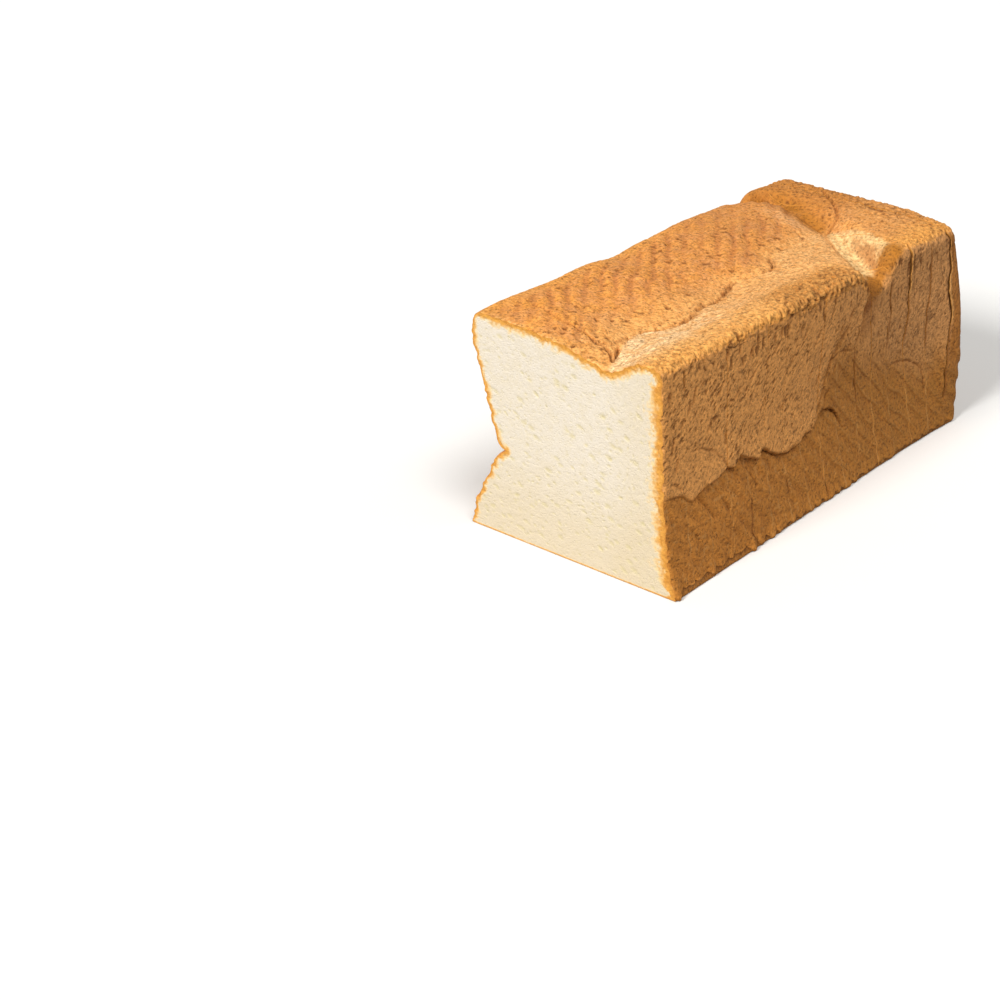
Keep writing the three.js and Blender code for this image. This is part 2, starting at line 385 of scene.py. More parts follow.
# The left side, drawn in to one deep crease
notch = {
    "height": 46.0,
    "depth": 19.0,
    "rearDepth": 12.0,
    "reachUp": 53.0,
    "reachDown": 31.0,
    "power": 0.9,
    "waveRise": 2.0,
    "waveLength": 37.0,
    "cuspShare": 0.26,
    "cuspReach": 2.5,
}

# The baked end
heel = {
    "grainShift": 70.0,  # where the end takes its grain from, past the loaf's own length
    "radius": 7.0,
    "dome": 1.8,
    "domeReach": 46.0,
    "edgeReach": 7.0,  # how far the edge's colours reach over the end
    "cadDome": 0.9,
    "cadDomeRings": 2,
    "roundingRings": 14,
}


# Lines of the loaf in words: straight between their points, and the crease and the wrinkle stray by
# a little noise
def creaseLine(along):
    return follow(creasePath, along, 1) + 0.25 * noise(along / 2.7, 3.1, 0.2, 71)


def stepLine(z):
    return follow(stepPath, z)


def wrinkleLine(along):
    return follow(wrinklePath, along) + 0.35 * noise(along / 1.9, 0.4, 7.3, 72)


# Seam in words: a straight line across the loaf, bowed back on the left and forward at the far left
def leftSeam(x):
    bow = seam["bowShift"] * bump(x, seam["bowX"], seam["bowReach"])
    return seam["middle"] + bow - seam["endShift"] * smooth(seam["endFrom"], seam["endTo"], x)


# Foot lines in words: the seam on the left, and on the right a line that comes forward with x
def footLine(x, slope):
    return np.where(x > 0, leftSeam(0.0) - slope * x, leftSeam(x))


# Floor of the seam in words: level, with a smooth rise to the left and a smooth fall to the right
def seamFloor(x):
    rise = seam["rise"] * smooth(0, seam["riseTo"], x)
    return seam["height"] + rise - seam["fall"] * smooth(0, seam["fallTo"], x)


# Height of the front piece in words: the plateau falls to the crease as a power of the share of the
# way there, and the roll rises from it as a smooth step
def frontTop(x, along):
    crease = creaseLine(along)
    hollow = front["hollow"] * bump(along, front["hollowAlong"], front["hollowReach"])
    plateau = front["plateau"] - hollow + front["waveRise"] * np.sin(along / front["waveLength"])
    depth = front["creaseDepth"] + front["creaseFrontDepth"] * bump(along, 0, front["creaseFrontReach"])
    share = np.clip((x - front["plateauEdge"]) / (crease - front["plateauEdge"]), 0, 1)
    leftOf = plateau - depth * share ** front["plateauPower"]
    roll = front["roll"] - front["rollDrop"] * smooth(front["rollFrom"], front["rollTo"], along)
    rightOf = blend(plateau - depth, roll, smooth(crease, front["rollCrest"], x) ** front["rollPower"])
    return np.where(x < crease, leftOf, rightOf)


# Height of the rear piece in words: a plane that tilts to the right, less a fall at its right
# shoulder and less a bell along the branching crease
def rearTop(x, along):
    fade = smooth(202, 212, along) - smooth(230, 248, along)
    crease = rear["branchDepth"] * fade * bump(x, follow(branchPath, along, 1), rear["branchReach"])
    back = smooth(rear["start"], rear["end"], along)
    fall = rear["shoulderFall"] * smooth(rear["shoulderFrom"], section["rightShoulder"], x) * back
    return rear["height"] - blend(rear["tiltFront"], rear["tiltRear"], back) * x - fall - crease


# Top in words: the floor of the seam, plus each piece's height above it, which dies away as a bell
# towards the foot of that piece
def topHeight(x, along):
    floor = seamFloor(x)
    ahead = np.maximum(footLine(x, seam["troughFront"]) - along, 0)
    behind = np.maximum(along - footLine(x, seam["troughRear"]), 0)
    toRight = smooth(0, seam["rearRoundingTo"], x)
    rearReach = blend(seam["rearRoundingLeft"], seam["rearRoundingMiddle"], smooth(-42, -18, x))
    rearReach = blend(rearReach, seam["rearRoundingRight"], toRight)
    frontReach = blend(seam["frontRoundingLeft"], seam["frontRounding"], smooth(-24, 10, x))
    frontPart = (frontTop(x, along) - floor) * (1 - bump(ahead, 0, frontReach))
    rearPart = (rearTop(x, along) - floor) * (1 - bump(behind, 0, rearReach))
    return floor + frontPart + rearPart


# Right side in words: how far it stands in from the plain wall, as the sum of the waist, the band,
# the step, the hollow and lip at the wrinkle, and the rear piece's shoulder and bulge
def rightInset(z, along):
    rearShare = smooth(rear["start"], rear["end"], along)
    waist = blend(flank["waistFront"], flank["waist"], smooth(flank["waistFrom"], flank["waistFull"], along))
    waist = waist * (1 - smooth(flank["waistFade"], flank["waistGone"], along))
    band = flank["bulge"] * bump(z, flank["bulgeHeight"], flank["bulgeReach"])
    behindStep = along - stepLine(z)
    stepRise = smooth(flank["stepFoot"], flank["stepFull"], z)
    stepFade = 1 - smooth(flank["stepFadeFrom"], flank["stepFadeTo"], behindStep)
    step = flank["step"] * smooth(-flank["stepWidth"], flank["stepWidth"], behindStep)
    belowFold = wrinkleLine(along) - z
    hollow = flank["foldDepth"] * bump(belowFold, 0, flank["foldBelow"])
    lip = -flank["foldLip"] * bump(belowFold, 0, flank["foldAbove"])
    fold = blend(lip, hollow, smooth(-flank["foldEdge"], flank["foldEdge"], belowFold))
    sharpness = 1 - smooth(flank["foldFadeFrom"], flank["foldFadeTo"], along)
    begun = smooth(flank["foldStartFrom"], flank["foldStartTo"], along)
    sharpness = sharpness * blend(flank["foldStartShare"], 1, begun)
    shoulder = rear["shoulderInset"] * smooth(rear["shoulderFoot"], block["height"], z) * rearShare
    bulge = rear["bulge"] * bump(z, rear["bulgeHeight"], rear["bulgeReach"])
    return (
        waist * bump(z, flank["waistHeight"], flank["waistReach"])
        - band * bump(along, flank["bulgeAlong"], flank["bulgeAlongReach"])
        + step * stepRise * stepFade
        + fold * sharpness
        + shoulder
        - bulge * smooth(rear["bulgeFrom"], rear["bulgeTo"], along)
    )


# Height of the left side's crease in words: level, with a slow sine along the loaf
def notchLine(along):
    return notch["height"] + notch["waveRise"] * np.sin(along / notch["waveLength"])


# Left side in words: a wedge that is deepest at the notch line, mixed with a sharp cusp there
def leftInset(z, along):
    depth = blend(notch["depth"], notch["rearDepth"], smooth(0, loafLength, along))
    above = z - notchLine(along)
    reach = np.where(above > 0, notch["reachUp"], notch["reachDown"])
    slope = np.maximum(1 - np.abs(above) / reach, 0) ** notch["power"]
    cusp = np.exp(-np.abs(above) / notch["cuspReach"])
    return depth * blend(slope, cusp, notch["cuspShare"])


# Wall in words: a straight line from foot to shoulder, plus the flare, less that side's relief
def wallAt(side, z, along):
    shoulder = section["rightShoulder"] if side > 0 else section["leftShoulder"]
    spread = blend(section["footFlare"], section["footFlareRear"], along / loafLength)
    flare = spread * np.exp(-z / section["footFlareHeight"])
    inset = rightInset(z, along) if side > 0 else leftInset(z, along)
    return blend(section["wallFoot"], shoulder, z / block["height"]) + flare - inset


# Outline in words: base, right foot corner, right wall, shoulder, roll, plateau, shoulder, left
# wall down to its crease and on to the foot, with one column for each distance along the loaf
def outlineAt(along):
    along = np.asarray(along, float)[None, :]
    pieces = []

    def wall(count, side, fromZ, toZ):
        z = blend(fromZ, toZ, np.arange(count)[:, None] / count)
        pieces.append((side * wallAt(side, z, along), z))

    def level(count, fromX, toX, flat):
        x = blend(fromX, toX, np.arange(count)[:, None] / count)
        pieces.append((x, np.zeros(x.shape) if flat else topHeight(x, along)))

    def corner(count, side, centreZ, radius, fromAngle):
        angle = fromAngle + np.arange(count)[:, None] / count * math.pi / 2
        z = centreZ + radius * np.sin(angle)
        pieces.append((side * (wallAt(side, z, along) - radius) + radius * np.cos(angle), z))

    foot = section["footRadius"]
    radius = {
        1: blend(section["rightRadius"], section["rightRadiusRear"], smooth(150, 215, along)),
        -1: np.full(along.shape, section["leftRadius"]),
    }
    crown = {}
    for side in (1, -1):
        edge = wallAt(side, topHeight(np.full(along.shape, side * front["rollCrest"]), along), along)
        x = side * (edge - radius[side])
        crown[side] = (x, topHeight(x, along) - radius[side])
    crease = creaseLine(along)
    middle = notchLine(along)
    half = section["wallPoints"] // 2
    level(topPoints, -(wallAt(-1, 0.0, along) - foot), wallAt(1, 0.0, along) - foot, True)
    corner(section["footPoints"], 1, foot, foot, -math.pi / 2)
    wall(section["wallPoints"], 1, foot, crown[1][1])
    corner(section["shoulderPoints"], 1, crown[1][1], radius[1], 0)
    level(section["rollPoints"], crown[1][0], crease, False)
    level(topPoints - section["rollPoints"], crease, crown[-1][0], False)
    corner(section["shoulderPoints"], -1, crown[-1][1], radius[-1], math.pi / 2)
    wall(half, -1, crown[-1][1], middle)
    wall(half, -1, middle, foot)
    corner(section["footPoints"], -1, foot, foot, math.pi)
    x = np.concatenate([np.broadcast_to(a, np.broadcast_shapes(a.shape, b.shape)) for a, b in pieces])
    z = np.concatenate([np.broadcast_to(b, np.broadcast_shapes(a.shape, b.shape)) for a, b in pieces])
    return x, z


# Slip in words: a sine of the slice's number
def sideSlip(index):
    return block["slipReach"] * math.sin(block["slipPhase"] * index + block["slipStart"])


# Lean in words: the same step more for each slice from one on, and more again for the heel
def lean(index):
    extra = block["heelLean"] if index == block["slices"] - 1 else 0
    return block["leanPerSlice"] * max(index - block["firstLeaningSlice"], 0) + extra


lastLean = lean(block["slices"] - 1)
loafMiddle = (loafLength + heel["cadDome"] * heel["cadDomeRings"] + lastLean * block["height"] / 2) / 2
print("stage: shape of the loaf set")

# Relief of the whole crust, in millimetres
crustRelief = {
    "swell": 0.3,
    "swellSize": 21,
    "grain": 0.13,
    "grainSize": 2.1,
    "lost": 0.8,  # share of the relief that is lost where the crust is calm
}
# Places where the crust is calm: (across or height, along, reach, reach along)
calmTop = [(5, 192.5, 8, 8), (-14, 199, 15, 7)]
calmSide = [(99, 149, 11, 8), (104, 168, 14, 5)]
# Height of the line on the right shoulder where the top's colour ends, as (along, height)
shoulderLine = [
    (0, 109.4), (13, 109.4), (28, 109), (39, 108), (60, 108), (85, 107.4), (96, 106.4), (119, 105.2),
    (142, 104.6), (157, 103.6), (163, 100), (167, 95), (176, 91.5), (184, 93.4), (191, 99.5),
    (198, 106.4), (204, 108), (212, 107.4), (225, 106), (240, 104.6), (260, 104),
]


# Skin in words: the crust's points, the share to which each is in a part of the loaf, and three
# layers: broad relief, fine relief, and the shade painted into each dent. The plan holds the materials'
# masks
def startSkin(x, along, z, upward, side):
    skin = SimpleNamespace(x=x, along=along, z=z, upward=upward, side=side, plan={})
    skin.top = smooth(0.30, 0.62, upward)
    skin.under = smooth(-0.5, -0.9, upward)
    skin.onRight = (1 - skin.top) * (side > 0) * (upward > -0.5)
    skin.onLeft = (1 - skin.top) * (side < 0) * (upward > -0.5)
    skin.pastCrease = x - creaseLine(along)
    skin.isFront = smooth(4, -4, along - footLine(x, seam["troughFront"]))
    skin.isRear = smooth(-2, 4, along - footLine(x, seam["troughRear"]))
    skin.plateau = skin.top * skin.isFront * smooth(0.5, -3, skin.pastCrease)
    skin.roll = skin.top * skin.isFront * smooth(-0.5, 2, skin.pastCrease)
    skin.calm = np.zeros(x.shape)
    for across, place, reach, reachAlong in calmTop:
        calm = skin.top * bump(x, across, reach) * bump(along, place, reachAlong)
        skin.calm = np.maximum(skin.calm, calm)
    for height, place, reach, reachAlong in calmSide:
        calm = skin.onRight * bump(z, height, reach) * bump(along, place, reachAlong)
        skin.calm = np.maximum(skin.calm, calm)
    skin.lively = 1 - crustRelief["lost"] * skin.calm
    skin.aboveShoulder = z - follow(shoulderLine, along)
    skin.warp = 1.1 * noise(x / 2.3, along / 2.3, z / 2.3, 11)
    skin.twist = 0.9 * noise(x / 1.7, along / 1.7, z / 1.7, 10)
    swell, grain = crustRelief["swellSize"], crustRelief["grainSize"]
    skin.relief = crustRelief["swell"] * cloud(x / swell, along / swell, z / swell, 1, 2)
    skin.fine = crustRelief["grain"] * cloud(x / grain, along / grain, z / grain, 5, 3)
    skin.dent = np.zeros(x.shape)
    return skin


# Painted shade: darkens the crust where shade would fall in a dent, crack or gap, the darkest counting
def darken(skin, *amounts):
    for amount in amounts:
        skin.dent = np.maximum(skin.dent, amount)


# Carved mark in words: depth times the amount comes off the relief, and dark times it is the shade painted
# into it
def carve(skin, amount, depth, dark):
    skin.relief = skin.relief - depth * amount
    darken(skin, dark * amount)


# Ribs, pits and one thin ridge of the plateau. Pairs are where something starts and is full
plateauSet = {
    "ribPitch": 7.8,
    "ribHeight": 0.42,
    "ribAcross": (-54, -44),
    "ribAlong": (3, 12),
    "ribToCrease": (-3, -20),
    "rearShare": 0.8,
    "pitSpacing": 4.6,
    "pitShares": (0.12, 0.4),  # of the cells, where pits are few and where they crowd
    "pitRadius": 0.3,
    "pitDepth": 0.9,
    "smallPitSize": 1.9,
    "smallPitLevels": (-1.15, -0.85),
    "smallPitDepth": 0.5,
    "markDepth": 1.1,
    "markLength": 1.5,
    "markWidth": 1.0,
    "markAngle": 40,
    "fuzz": 0.12,
    "ridgeHeight": 0.6,
    "ridgeWidth": 0.9,
}
# Single pits of the top, as (across, along)
topPits = [
    (-39.7, 135.1), (-26.9, 110.4), (-31.9, 105.3), (-26.3, 156.7), (-6.6, 161.2), (-6.6, 175.6),
    (-11.4, 120.9), (-7.5, 92.4), (3.8, 86.4), (-1.7, 146.2), (-0.9, 189), (-42.6, 46.7), (1.8, 52.2),
    (-19, 28), (-37, 116), (-30, 161), (1, 167), (-27, 149), (4.2, 238.8), (8, 238), (11, 237.5),
    (14.8, 237.5), (-20, 238),
]
# Thin bright ridge on the plateau, as (across, along)
ridgePath = [(-36, 70), (-29, 75), (-20.7, 80), (-14.7, 84.5), (-7, 89), (-3, 93)]


# Plateau in words: a sine that runs slantwise, less dents on a random grid, ragged holes and the
# listed single pits, all with painted shade, plus a bell along the ridge
def addPlateau(skin):
    x, along, values = skin.x, skin.along, plateauSet
    bend = 2.0 * noise(x / 15, along / 15, 0, 12)
    rib = np.sin(2 * math.pi * (0.8 * x + 0.6 * along + bend) / values["ribPitch"])
    ribShare = skin.plateau * smooth(*values["ribAcross"], x) * smooth(*values["ribAlong"], along)
    ribShare = ribShare * smooth(*values["ribToCrease"], skin.pastCrease)
    ribShare = ribShare * np.clip(0.85 + 0.6 * noise(x / 18, along / 18, 2, 13), 0, 1.2) * (1 - skin.calm)
    skin.relief += values["ribHeight"] * rib * ribShare
    # The rib mask is painted shade in the troughs between the ribs
    skin.plan["rib"] = np.clip(-rib * ribShare, 0, 1)
    loose = skin.top * (skin.plateau + values["rearShare"] * skin.isRear) * skin.lively
    crowded = smooth(-0.2, 0.6, noise(x / 16, along / 16, 1, 9))
    pitA = (x + 0.6 * skin.warp) / values["pitSpacing"]
    pitB = (along + 0.6 * skin.twist) / values["pitSpacing"]
    pit = dents(pitA, pitB, 14, blend(*values["pitShares"], crowded), values["pitRadius"]) * loose
    size = values["smallPitSize"]
    smallPit = ragged(x / size, along / size, 15, blend(*values["smallPitLevels"], crowded)) * loose
    shape = (values["markLength"], values["markWidth"], values["markAngle"])
    single = marks(x + 0.8 * skin.warp, along + 0.8 * skin.twist, topPits, *shape) * skin.top
    skin.fine -= values["pitDepth"] * pit + values["smallPitDepth"] * smallPit
    skin.fine -= values["markDepth"] * single
    darken(skin, 0.8 * pit, 0.5 * smallPit, single)
    skin.fine += values["fuzz"] * noise((x + 0.3 * along) / 1.3, (along - 0.3 * x) / 2.6, 3, 8) * loose
    ridge, _ = pathDistance(x, along, ridgePath)
    skin.relief += values["ridgeHeight"] * bump(ridge, 0, values["ridgeWidth"]) * skin.plateau


# The crease, torn open here and there, and the cracks of the top
creaseSet = {
    "depth": 1.7,
    "width": 0.6,
    "stray": 0.7,
    "holeLength": 2.3,
    "holeWidth": 1.3,
    "holeAngle": 100,
    "holeShare": 0.9,
    "frontDepth": 1.4,
    "frontWidth": 0.7,
    "frontStart": (0.2, 2),  # point numbers of the front crack over which it opens
    "frontWhole": (4, 6),  # and over which it stops being dashed
    "lip": 0.6,
    "lipReach": 3.0,
}
# How far the crease is torn open, as (along, share), and the holes in it, as (across, along)
creaseTorn = [
    (0, 0), (7, 0), (10, 1), (22, 0.8), (32, 1), (36, 0.3), (42, 0.9), (46, 0.8), (52, 0.2), (60, 0.9),
    (66, 1), (78, 0.9), (86, 0.6), (92, 1.1), (98, 0.7), (104, 1.1), (108, 1.2), (115, 1.1), (120, 0.4),
    (130, 0.4), (142, 1), (150, 1.1), (156, 0.1),
]
creaseHoles = [
    (20, 64), (20.2, 69), (18.8, 73), (16.6, 78), (15.4, 84), (15.2, 91), (13.4, 100), (11.6, 106),
    (9.4, 112), (13, 141), (12.2, 146), (7.4, 150),
]
# Crack across the front of the plateau, as (across, along)
frontCrackPath = [
    (-52, 24), (-43.3, 24.4), (-34.7, 21.7), (-27.5, 20.5), (-19.8, 17.9), (-5.2, 17), (3.1, 14.9),
    (8.6, 13.6), (10.4, 14.4), (14, 13), (17.8, 11), (21.1, 8),
]
# Small creases of the top, as (path of (across, along), width, depth)
smallCreases = [
    ([(10.4, 15), (12.6, 21), (11.4, 32)], 0.8, 1.1),
    ([(20.8, 9), (18.6, 14), (15.6, 20)], 0.9, 0.9),
    ([(1.5, 206), (1.4, 212.7), (0.8, 218), (-4, 224.6), (-10.7, 231.4), (-20, 238.7), (-24, 242)],
     0.7, 1.3),
    ([(-46, 218), (-36, 219.5), (-30, 216.6), (-21.5, 213), (-13, 210.3), (-5.3, 208.4), (2.1, 205.6)],
     0.9, 1.2),
    ([(2.5, 206), (3.3, 208.6), (8.5, 209.7), (15.8, 209.8)], 0.7, 0.6),
    ([(4, 153), (-0.1, 164.7), (3, 175), (5.4, 180.8), (11, 181.6), (18, 180.4), (25, 178)], 0.7, 0.45),
    ([(-6, 191), (-1, 189.5), (2, 186)], 0.6, 0.8),
]


# Cracks in words: a bell of depth and of painted shade across each line, which strays by a little noise
def addCracks(skin):
    x, along, values = skin.x, skin.along, creaseSet
    torn = follow(creaseTorn, along) * smooth(-0.45, 0.2, noise(along / 3.6, 0.5, 0, 16) + 0.1)
    gap = skin.pastCrease + values["stray"] * noise(x / 1.1, along / 1.1, 0, 17)
    crack = bump(gap, 0, values["width"]) * torn * skin.top * skin.isFront
    shape = (values["holeLength"], values["holeWidth"], values["holeAngle"])
    holes = marks(x + 0.9 * skin.warp, along + 0.9 * skin.twist, creaseHoles, *shape) * skin.top
    reach, place = pathDistance(x, along + 0.6 * noise(x / 1.3, along / 1.3, 4, 19), frontCrackPath)
    dashes = np.clip(0.75 + 0.8 * noise(x / 4, along / 4, 0, 20), 0, 1)
    strength = smooth(*values["frontStart"], place) * blend(dashes, 1, smooth(*values["frontWhole"], place))
    frontCrack = bump(reach, 0, values["frontWidth"]) * strength * skin.top
    raised = smooth(0, 1.6, along - follow(frontCrackPath, x)) * bump(reach, 0, values["lipReach"])
    skin.relief += values["lip"] * raised * strength * skin.top
    skin.relief -= values["depth"] * np.maximum(crack, values["holeShare"] * holes)
    skin.relief -= values["frontDepth"] * frontCrack
    darken(skin, 1.1 * crack, frontCrack, holes)
    for path, width, deep in smallCreases:
        away, _ = pathDistance(x + 0.4 * skin.warp, along + 0.4 * skin.twist, path)
        carve(skin, bump(away, 0, width) * skin.top, deep, min(0.45 * deep, 0.75))


# The roll, and the rough, frayed shoulder beside it
rollSet = {
    "grain": 0.18,
    "shoulderGrain": 0.72,
    "shoulderAcross": (30, 46),
    "shoulderEnd": (155, 161),  # the shoulder is smooth from here
    "shoulderAgain": (206, 200),  # and rough again from here
    "porousFrom": (86, 108),
    "porousTo": (164, 150),
    "porousAcross": (30, 43),
    "rearFrom": (222, 238),
    "rearShare": 0.8,
    "rollShare": 0.35,
    "tearSize": 1.5,
    "tearDepth": 0.7,
}


# Roll in words: fine noise drawn out along the loaf, and round noise with ragged tears where rough
def addRoll(skin):
    x, along, z, values = skin.x, skin.along, skin.z, rollSet
    streak = noise((x + 0.06 * along) / 1.25, (along - 0.06 * x) / 4.2, 0, 21)
    streak = streak + 0.6 * noise(x / 0.9, along / 2.0, 0, 3)
    skin.fine += values["grain"] * streak * skin.roll * skin.lively
    porous = smooth(*values["porousFrom"], along) * smooth(*values["porousTo"], along)
    skin.porous = porous * smooth(*values["porousAcross"], x) * smooth(-1, 1.5, skin.aboveShoulder)
    nearShoulder = bump(skin.aboveShoulder, 1.5, 4.0) * smooth(*values["shoulderAcross"], x)
    nearShoulder = nearShoulder * (1 - skin.under)
    smoothPart = smooth(*values["shoulderEnd"], along) * smooth(*values["shoulderAgain"], along)
    rough = np.clip(0.8 * nearShoulder * (1 - smoothPart) + 1.1 * skin.porous, 0, 1.3)
    onRear = skin.top * skin.isRear * smooth(*values["rearFrom"], along)
    onFront = skin.top * skin.isFront * smooth(-2, 3, skin.pastCrease)
    rough = np.maximum(rough, np.maximum(values["rearShare"] * onRear, values["rollShare"] * onFront))
    size = values["tearSize"]
    skin.fine += values["shoulderGrain"] * cloud(x / size, along / size, z / size, 22, 1) * rough
    tear = ragged(along / size, (0.7 * z + x) / size, 23, blend(-0.7, -0.5, skin.porous)) * rough
    skin.fine -= values["tearDepth"] * tear
    # Painted shade in the tears
    darken(skin, 0.8 * np.clip(tear, 0, 1))


# The upper side: slanted grain and pores, upright ones under the shoulder and behind the step
sideSet = {
    "grain": 0.16,
    "grainSlope": 43.0,  # degrees that the side's grain rises towards the heel
    "uprightBehind": (150, 172),  # where along the loaf the grain turns upright
    "uprightAbove": (102, 109),  # and at which height, from uprightFrom on
    "uprightFrom": (20, 50),
    "poreSize": (4.6, 2.1),
    "poreShares": (0.06, 0.46),
    "poreDepth": 0.75,
    "smallPoreSize": (2.5, 1.3),
    "smallPoreDepth": 0.5,
    "leftShare": 0.3,
    "streakDepth": 0.8,
    "streakHeight": 100,
}
# Marks of the right side, as (along, height)
sidePits = [(47.8, 105.2), (67.8, 99), (95.5, 98), (72, 103.4), (96.4, 101.5), (85.4, 99.6), (57.4, 103.4)]
slantPits = [(135.6, 68), (137.6, 71.5), (141.4, 76.4), (146, 79.8), (149, 81.4), (144, 84), (152, 90)]
sideBlobs = [(48.2, 104.6), (67, 98.4), (5.2, 98), (163.4, 88.6), (165, 91.8), (91, 101), (108, 97)]
# Height below which the tin pressed the side smooth, behind the wrinkle, as (along, height)
pressedPath = [
    (127, 44), (131, 58), (134.7, 66), (142.9, 71.5), (155, 68), (162, 65), (175, 59), (190, 52.5),
    (198, 48.5), (208, 46.3), (215, 42), (219, 38.3), (235, 38), (260, 40),
]


# Height of that line in words: the wrinkle's own points as far as they go, and the listed ones behind
def pressedLine(along):
    ahead = [spot for spot in wrinklePath if spot[0] < pressedPath[0][0]]
    return follow(ahead + pressedPath, along)


# Share of the side's grain that is left at a distance along: less of it shows behind the step
def frontShare(along):
    return 1 - 0.4 * smooth(150, 200, along)


# Side in words: noise and dents drawn out along a slope, more in some patches than in others, plus
# the listed marks, each a bell, the pores and marks with painted shade
def addSide(skin):
    along, z, values = skin.along, skin.z, sideSet
    slope = math.radians(values["grainSlope"])
    skin.wander = 0.9 * noise(along / 7, z / 7, 0, 24)
    skin.above = z - wrinkleLine(along)
    skin.abovePressed = z - pressedLine(along)
    skin.aboveNotch = z - notch["height"] + 2.5 * noise(along / 8, z / 8, 0, 71)
    upper = smooth(-0.8, 0.8, skin.above) * smooth(-6, 5, skin.abovePressed)
    skin.upper = np.where(skin.side > 0, upper, smooth(-3, 3, skin.aboveNotch))
    share = skin.onRight * skin.upper * skin.lively * frontShare(along)
    behind = smooth(*values["uprightBehind"], along)
    under = smooth(*values["uprightAbove"], z) * smooth(*values["uprightFrom"], along)
    steep = np.clip(behind + under, 0, 1)
    lengthwise = blend(along * math.cos(slope) + z * math.sin(slope), z, steep)
    across = blend(z * math.cos(slope) - along * math.sin(slope), along, steep)
    flow = noise(lengthwise / 6.0, (across + skin.wander) / 1.6, 0, 25)
    flow = flow + 0.6 * noise(lengthwise / 3.0 + 0.4, (across - skin.wander) / 1.0, 0, 4)
    skin.fine += values["grain"] * (0.35 - np.abs(flow)) * share
    patchy = smooth(-0.6, 0.5, noise(along / 14, z / 14, 0, 28))
    long, wide = values["poreSize"]
    poreA, poreB = (lengthwise + 0.6 * skin.warp) / long, (across + 0.4 * skin.twist) / wide
    pore = dents(poreA, poreB, 26, blend(*values["poreShares"], patchy), 0.42)
    long, wide = values["smallPoreSize"]
    poreA, poreB = (lengthwise + 0.3 * skin.twist) / long, (across + 0.3 * skin.wander) / wide
    smallPore = dents(poreA, poreB, 27, 0.34, 0.45)
    poreShare = (share + values["leftShare"] * skin.onLeft) * (0.55 + 0.45 * patchy)
    skin.fine -= poreShare * (values["poreDepth"] * pore + values["smallPoreDepth"] * smallPore)
    darken(skin, poreShare * np.maximum(0.85 * pore, 0.5 * smallPore))
    carve(skin, marks(along, z, sidePits, 0.75, 2.6, 0) * skin.onRight, 0.9, 1)
    carve(skin, marks(along, z, slantPits, 3.2, 0.95, values["grainSlope"] + 16) * skin.onRight, 1.2, 1)
    carve(skin, marks(along, z, sideBlobs, 1.1, 2.4, -12) * skin.onRight, 1.3, 1)
    underShoulder = bump(z, values["streakHeight"], 6) * smooth(30, 60, along)
    behindStep = 0.3 * smooth(160, 168, along) * smooth(48, 62, z)
    streaks = ragged(along / 1.8, z / 6.5, 29, -0.5) * skin.onRight * np.maximum(underShoulder, behindStep)
    skin.fine -= values["streakDepth"] * streaks
    darken(skin, 0.8 * streaks)


# The wrinkle, its small neighbours, and short slits, each as a depth, a painted shade and a width
creases = {
    # under: how far below the wrinkle's line its groove and painted shadow sit, under the lip
    "wrinkle": {"depth": 1.8, "dark": 1.35, "width": 0.55, "under": 0.45},
    "small": {"depth": 0.9, "dark": 0.8, "width": 0.6},
    "slit": {"depth": 1.0, "dark": 0.85, "width": 0.6},
}
# How deep the wrinkle is, as (along, share)
wrinkleDepth = [
    (0, 0.1), (4, 0.35), (12, 0.45), (22, 0.25), (40, 0.3), (46, 1.0), (54, 1.0), (57, 0.9), (66, 0.9),
    (70, 0.5), (76, 0.7), (79, 1.0), (84, 1.0), (91, 0.8), (104, 0.7), (110, 0.45), (120, 0.9),
    (128, 1.0), (140, 0.8), (147, 0.5), (152, 0.1), (260, 0),
]
# Lines on the right side, each a path of (along, height)
sideWrinkles = [
    [(20, 66), (27.3, 65.4), (33, 62.6), (38.8, 59.2), (44.7, 53), (47.6, 48.8)],
    [(119, 38), (123, 39), (126, 41.6), (128.4, 44.4)],
    [(14, 32), (19, 27), (24, 20)],
    [(24, 42), (29, 37), (35, 28)],
    [(36, 44), (42, 36), (47, 27)],
    [(62, 44), (66, 38), (70, 30)],
    [(134.7, 67.1), (138, 69.5), (142.9, 72.3), (149, 71), (155.3, 69), (159.5, 70.5)],
    [(195, 47.4), (198, 47.8), (204.2, 47), (208.4, 46.3), (215.2, 41.9), (219.3, 38.3), (221, 26)],
    [(5, 55), (9, 54), (13, 50)],
]
sideSlits = [
    [(41.6, 87.2), (43, 90.4), (45.6, 92)], [(33, 71.5), (35.4, 75), (38.8, 77)],
    [(46.3, 60.6), (47.8, 66)], [(54.5, 80.4), (57.6, 84.2)], [(15.7, 98.6), (15.6, 106.8)],
    [(22, 89.6), (23, 93), (24.2, 96.6)], [(18.4, 86.4), (19.9, 89.8)], [(13, 80.6), (15.1, 84)],
    [(67, 85.4), (70, 88)], [(50.4, 80.6), (52.6, 80)], [(28.6, 96.4), (30.2, 97.2)],
    [(85, 92), (88, 96)], [(99, 80), (103, 85)], [(110, 91), (112.6, 95)], [(121, 84), (125, 90)],
    [(76, 66), (79, 71)], [(94, 60), (98, 65)], [(60, 95), (61, 99)], [(6, 70), (8, 77)],
    [(9.5, 60), (10.5, 66)], [(127, 46), (128.6, 50)], [(129.4, 52), (132, 57.5)],
    [(131.6, 59), (134.4, 64)], [(135, 66), (139, 70.5)], [(140.5, 73), (144.5, 77)],
    [(146.5, 78), (150, 82)], [(133, 50), (136, 55)], [(124, 60), (127, 65)], [(139, 62), (142, 66)],
    [(150, 68), (153, 73)], [(118, 66), (121, 71)], [(127, 70), (130, 75)],
]
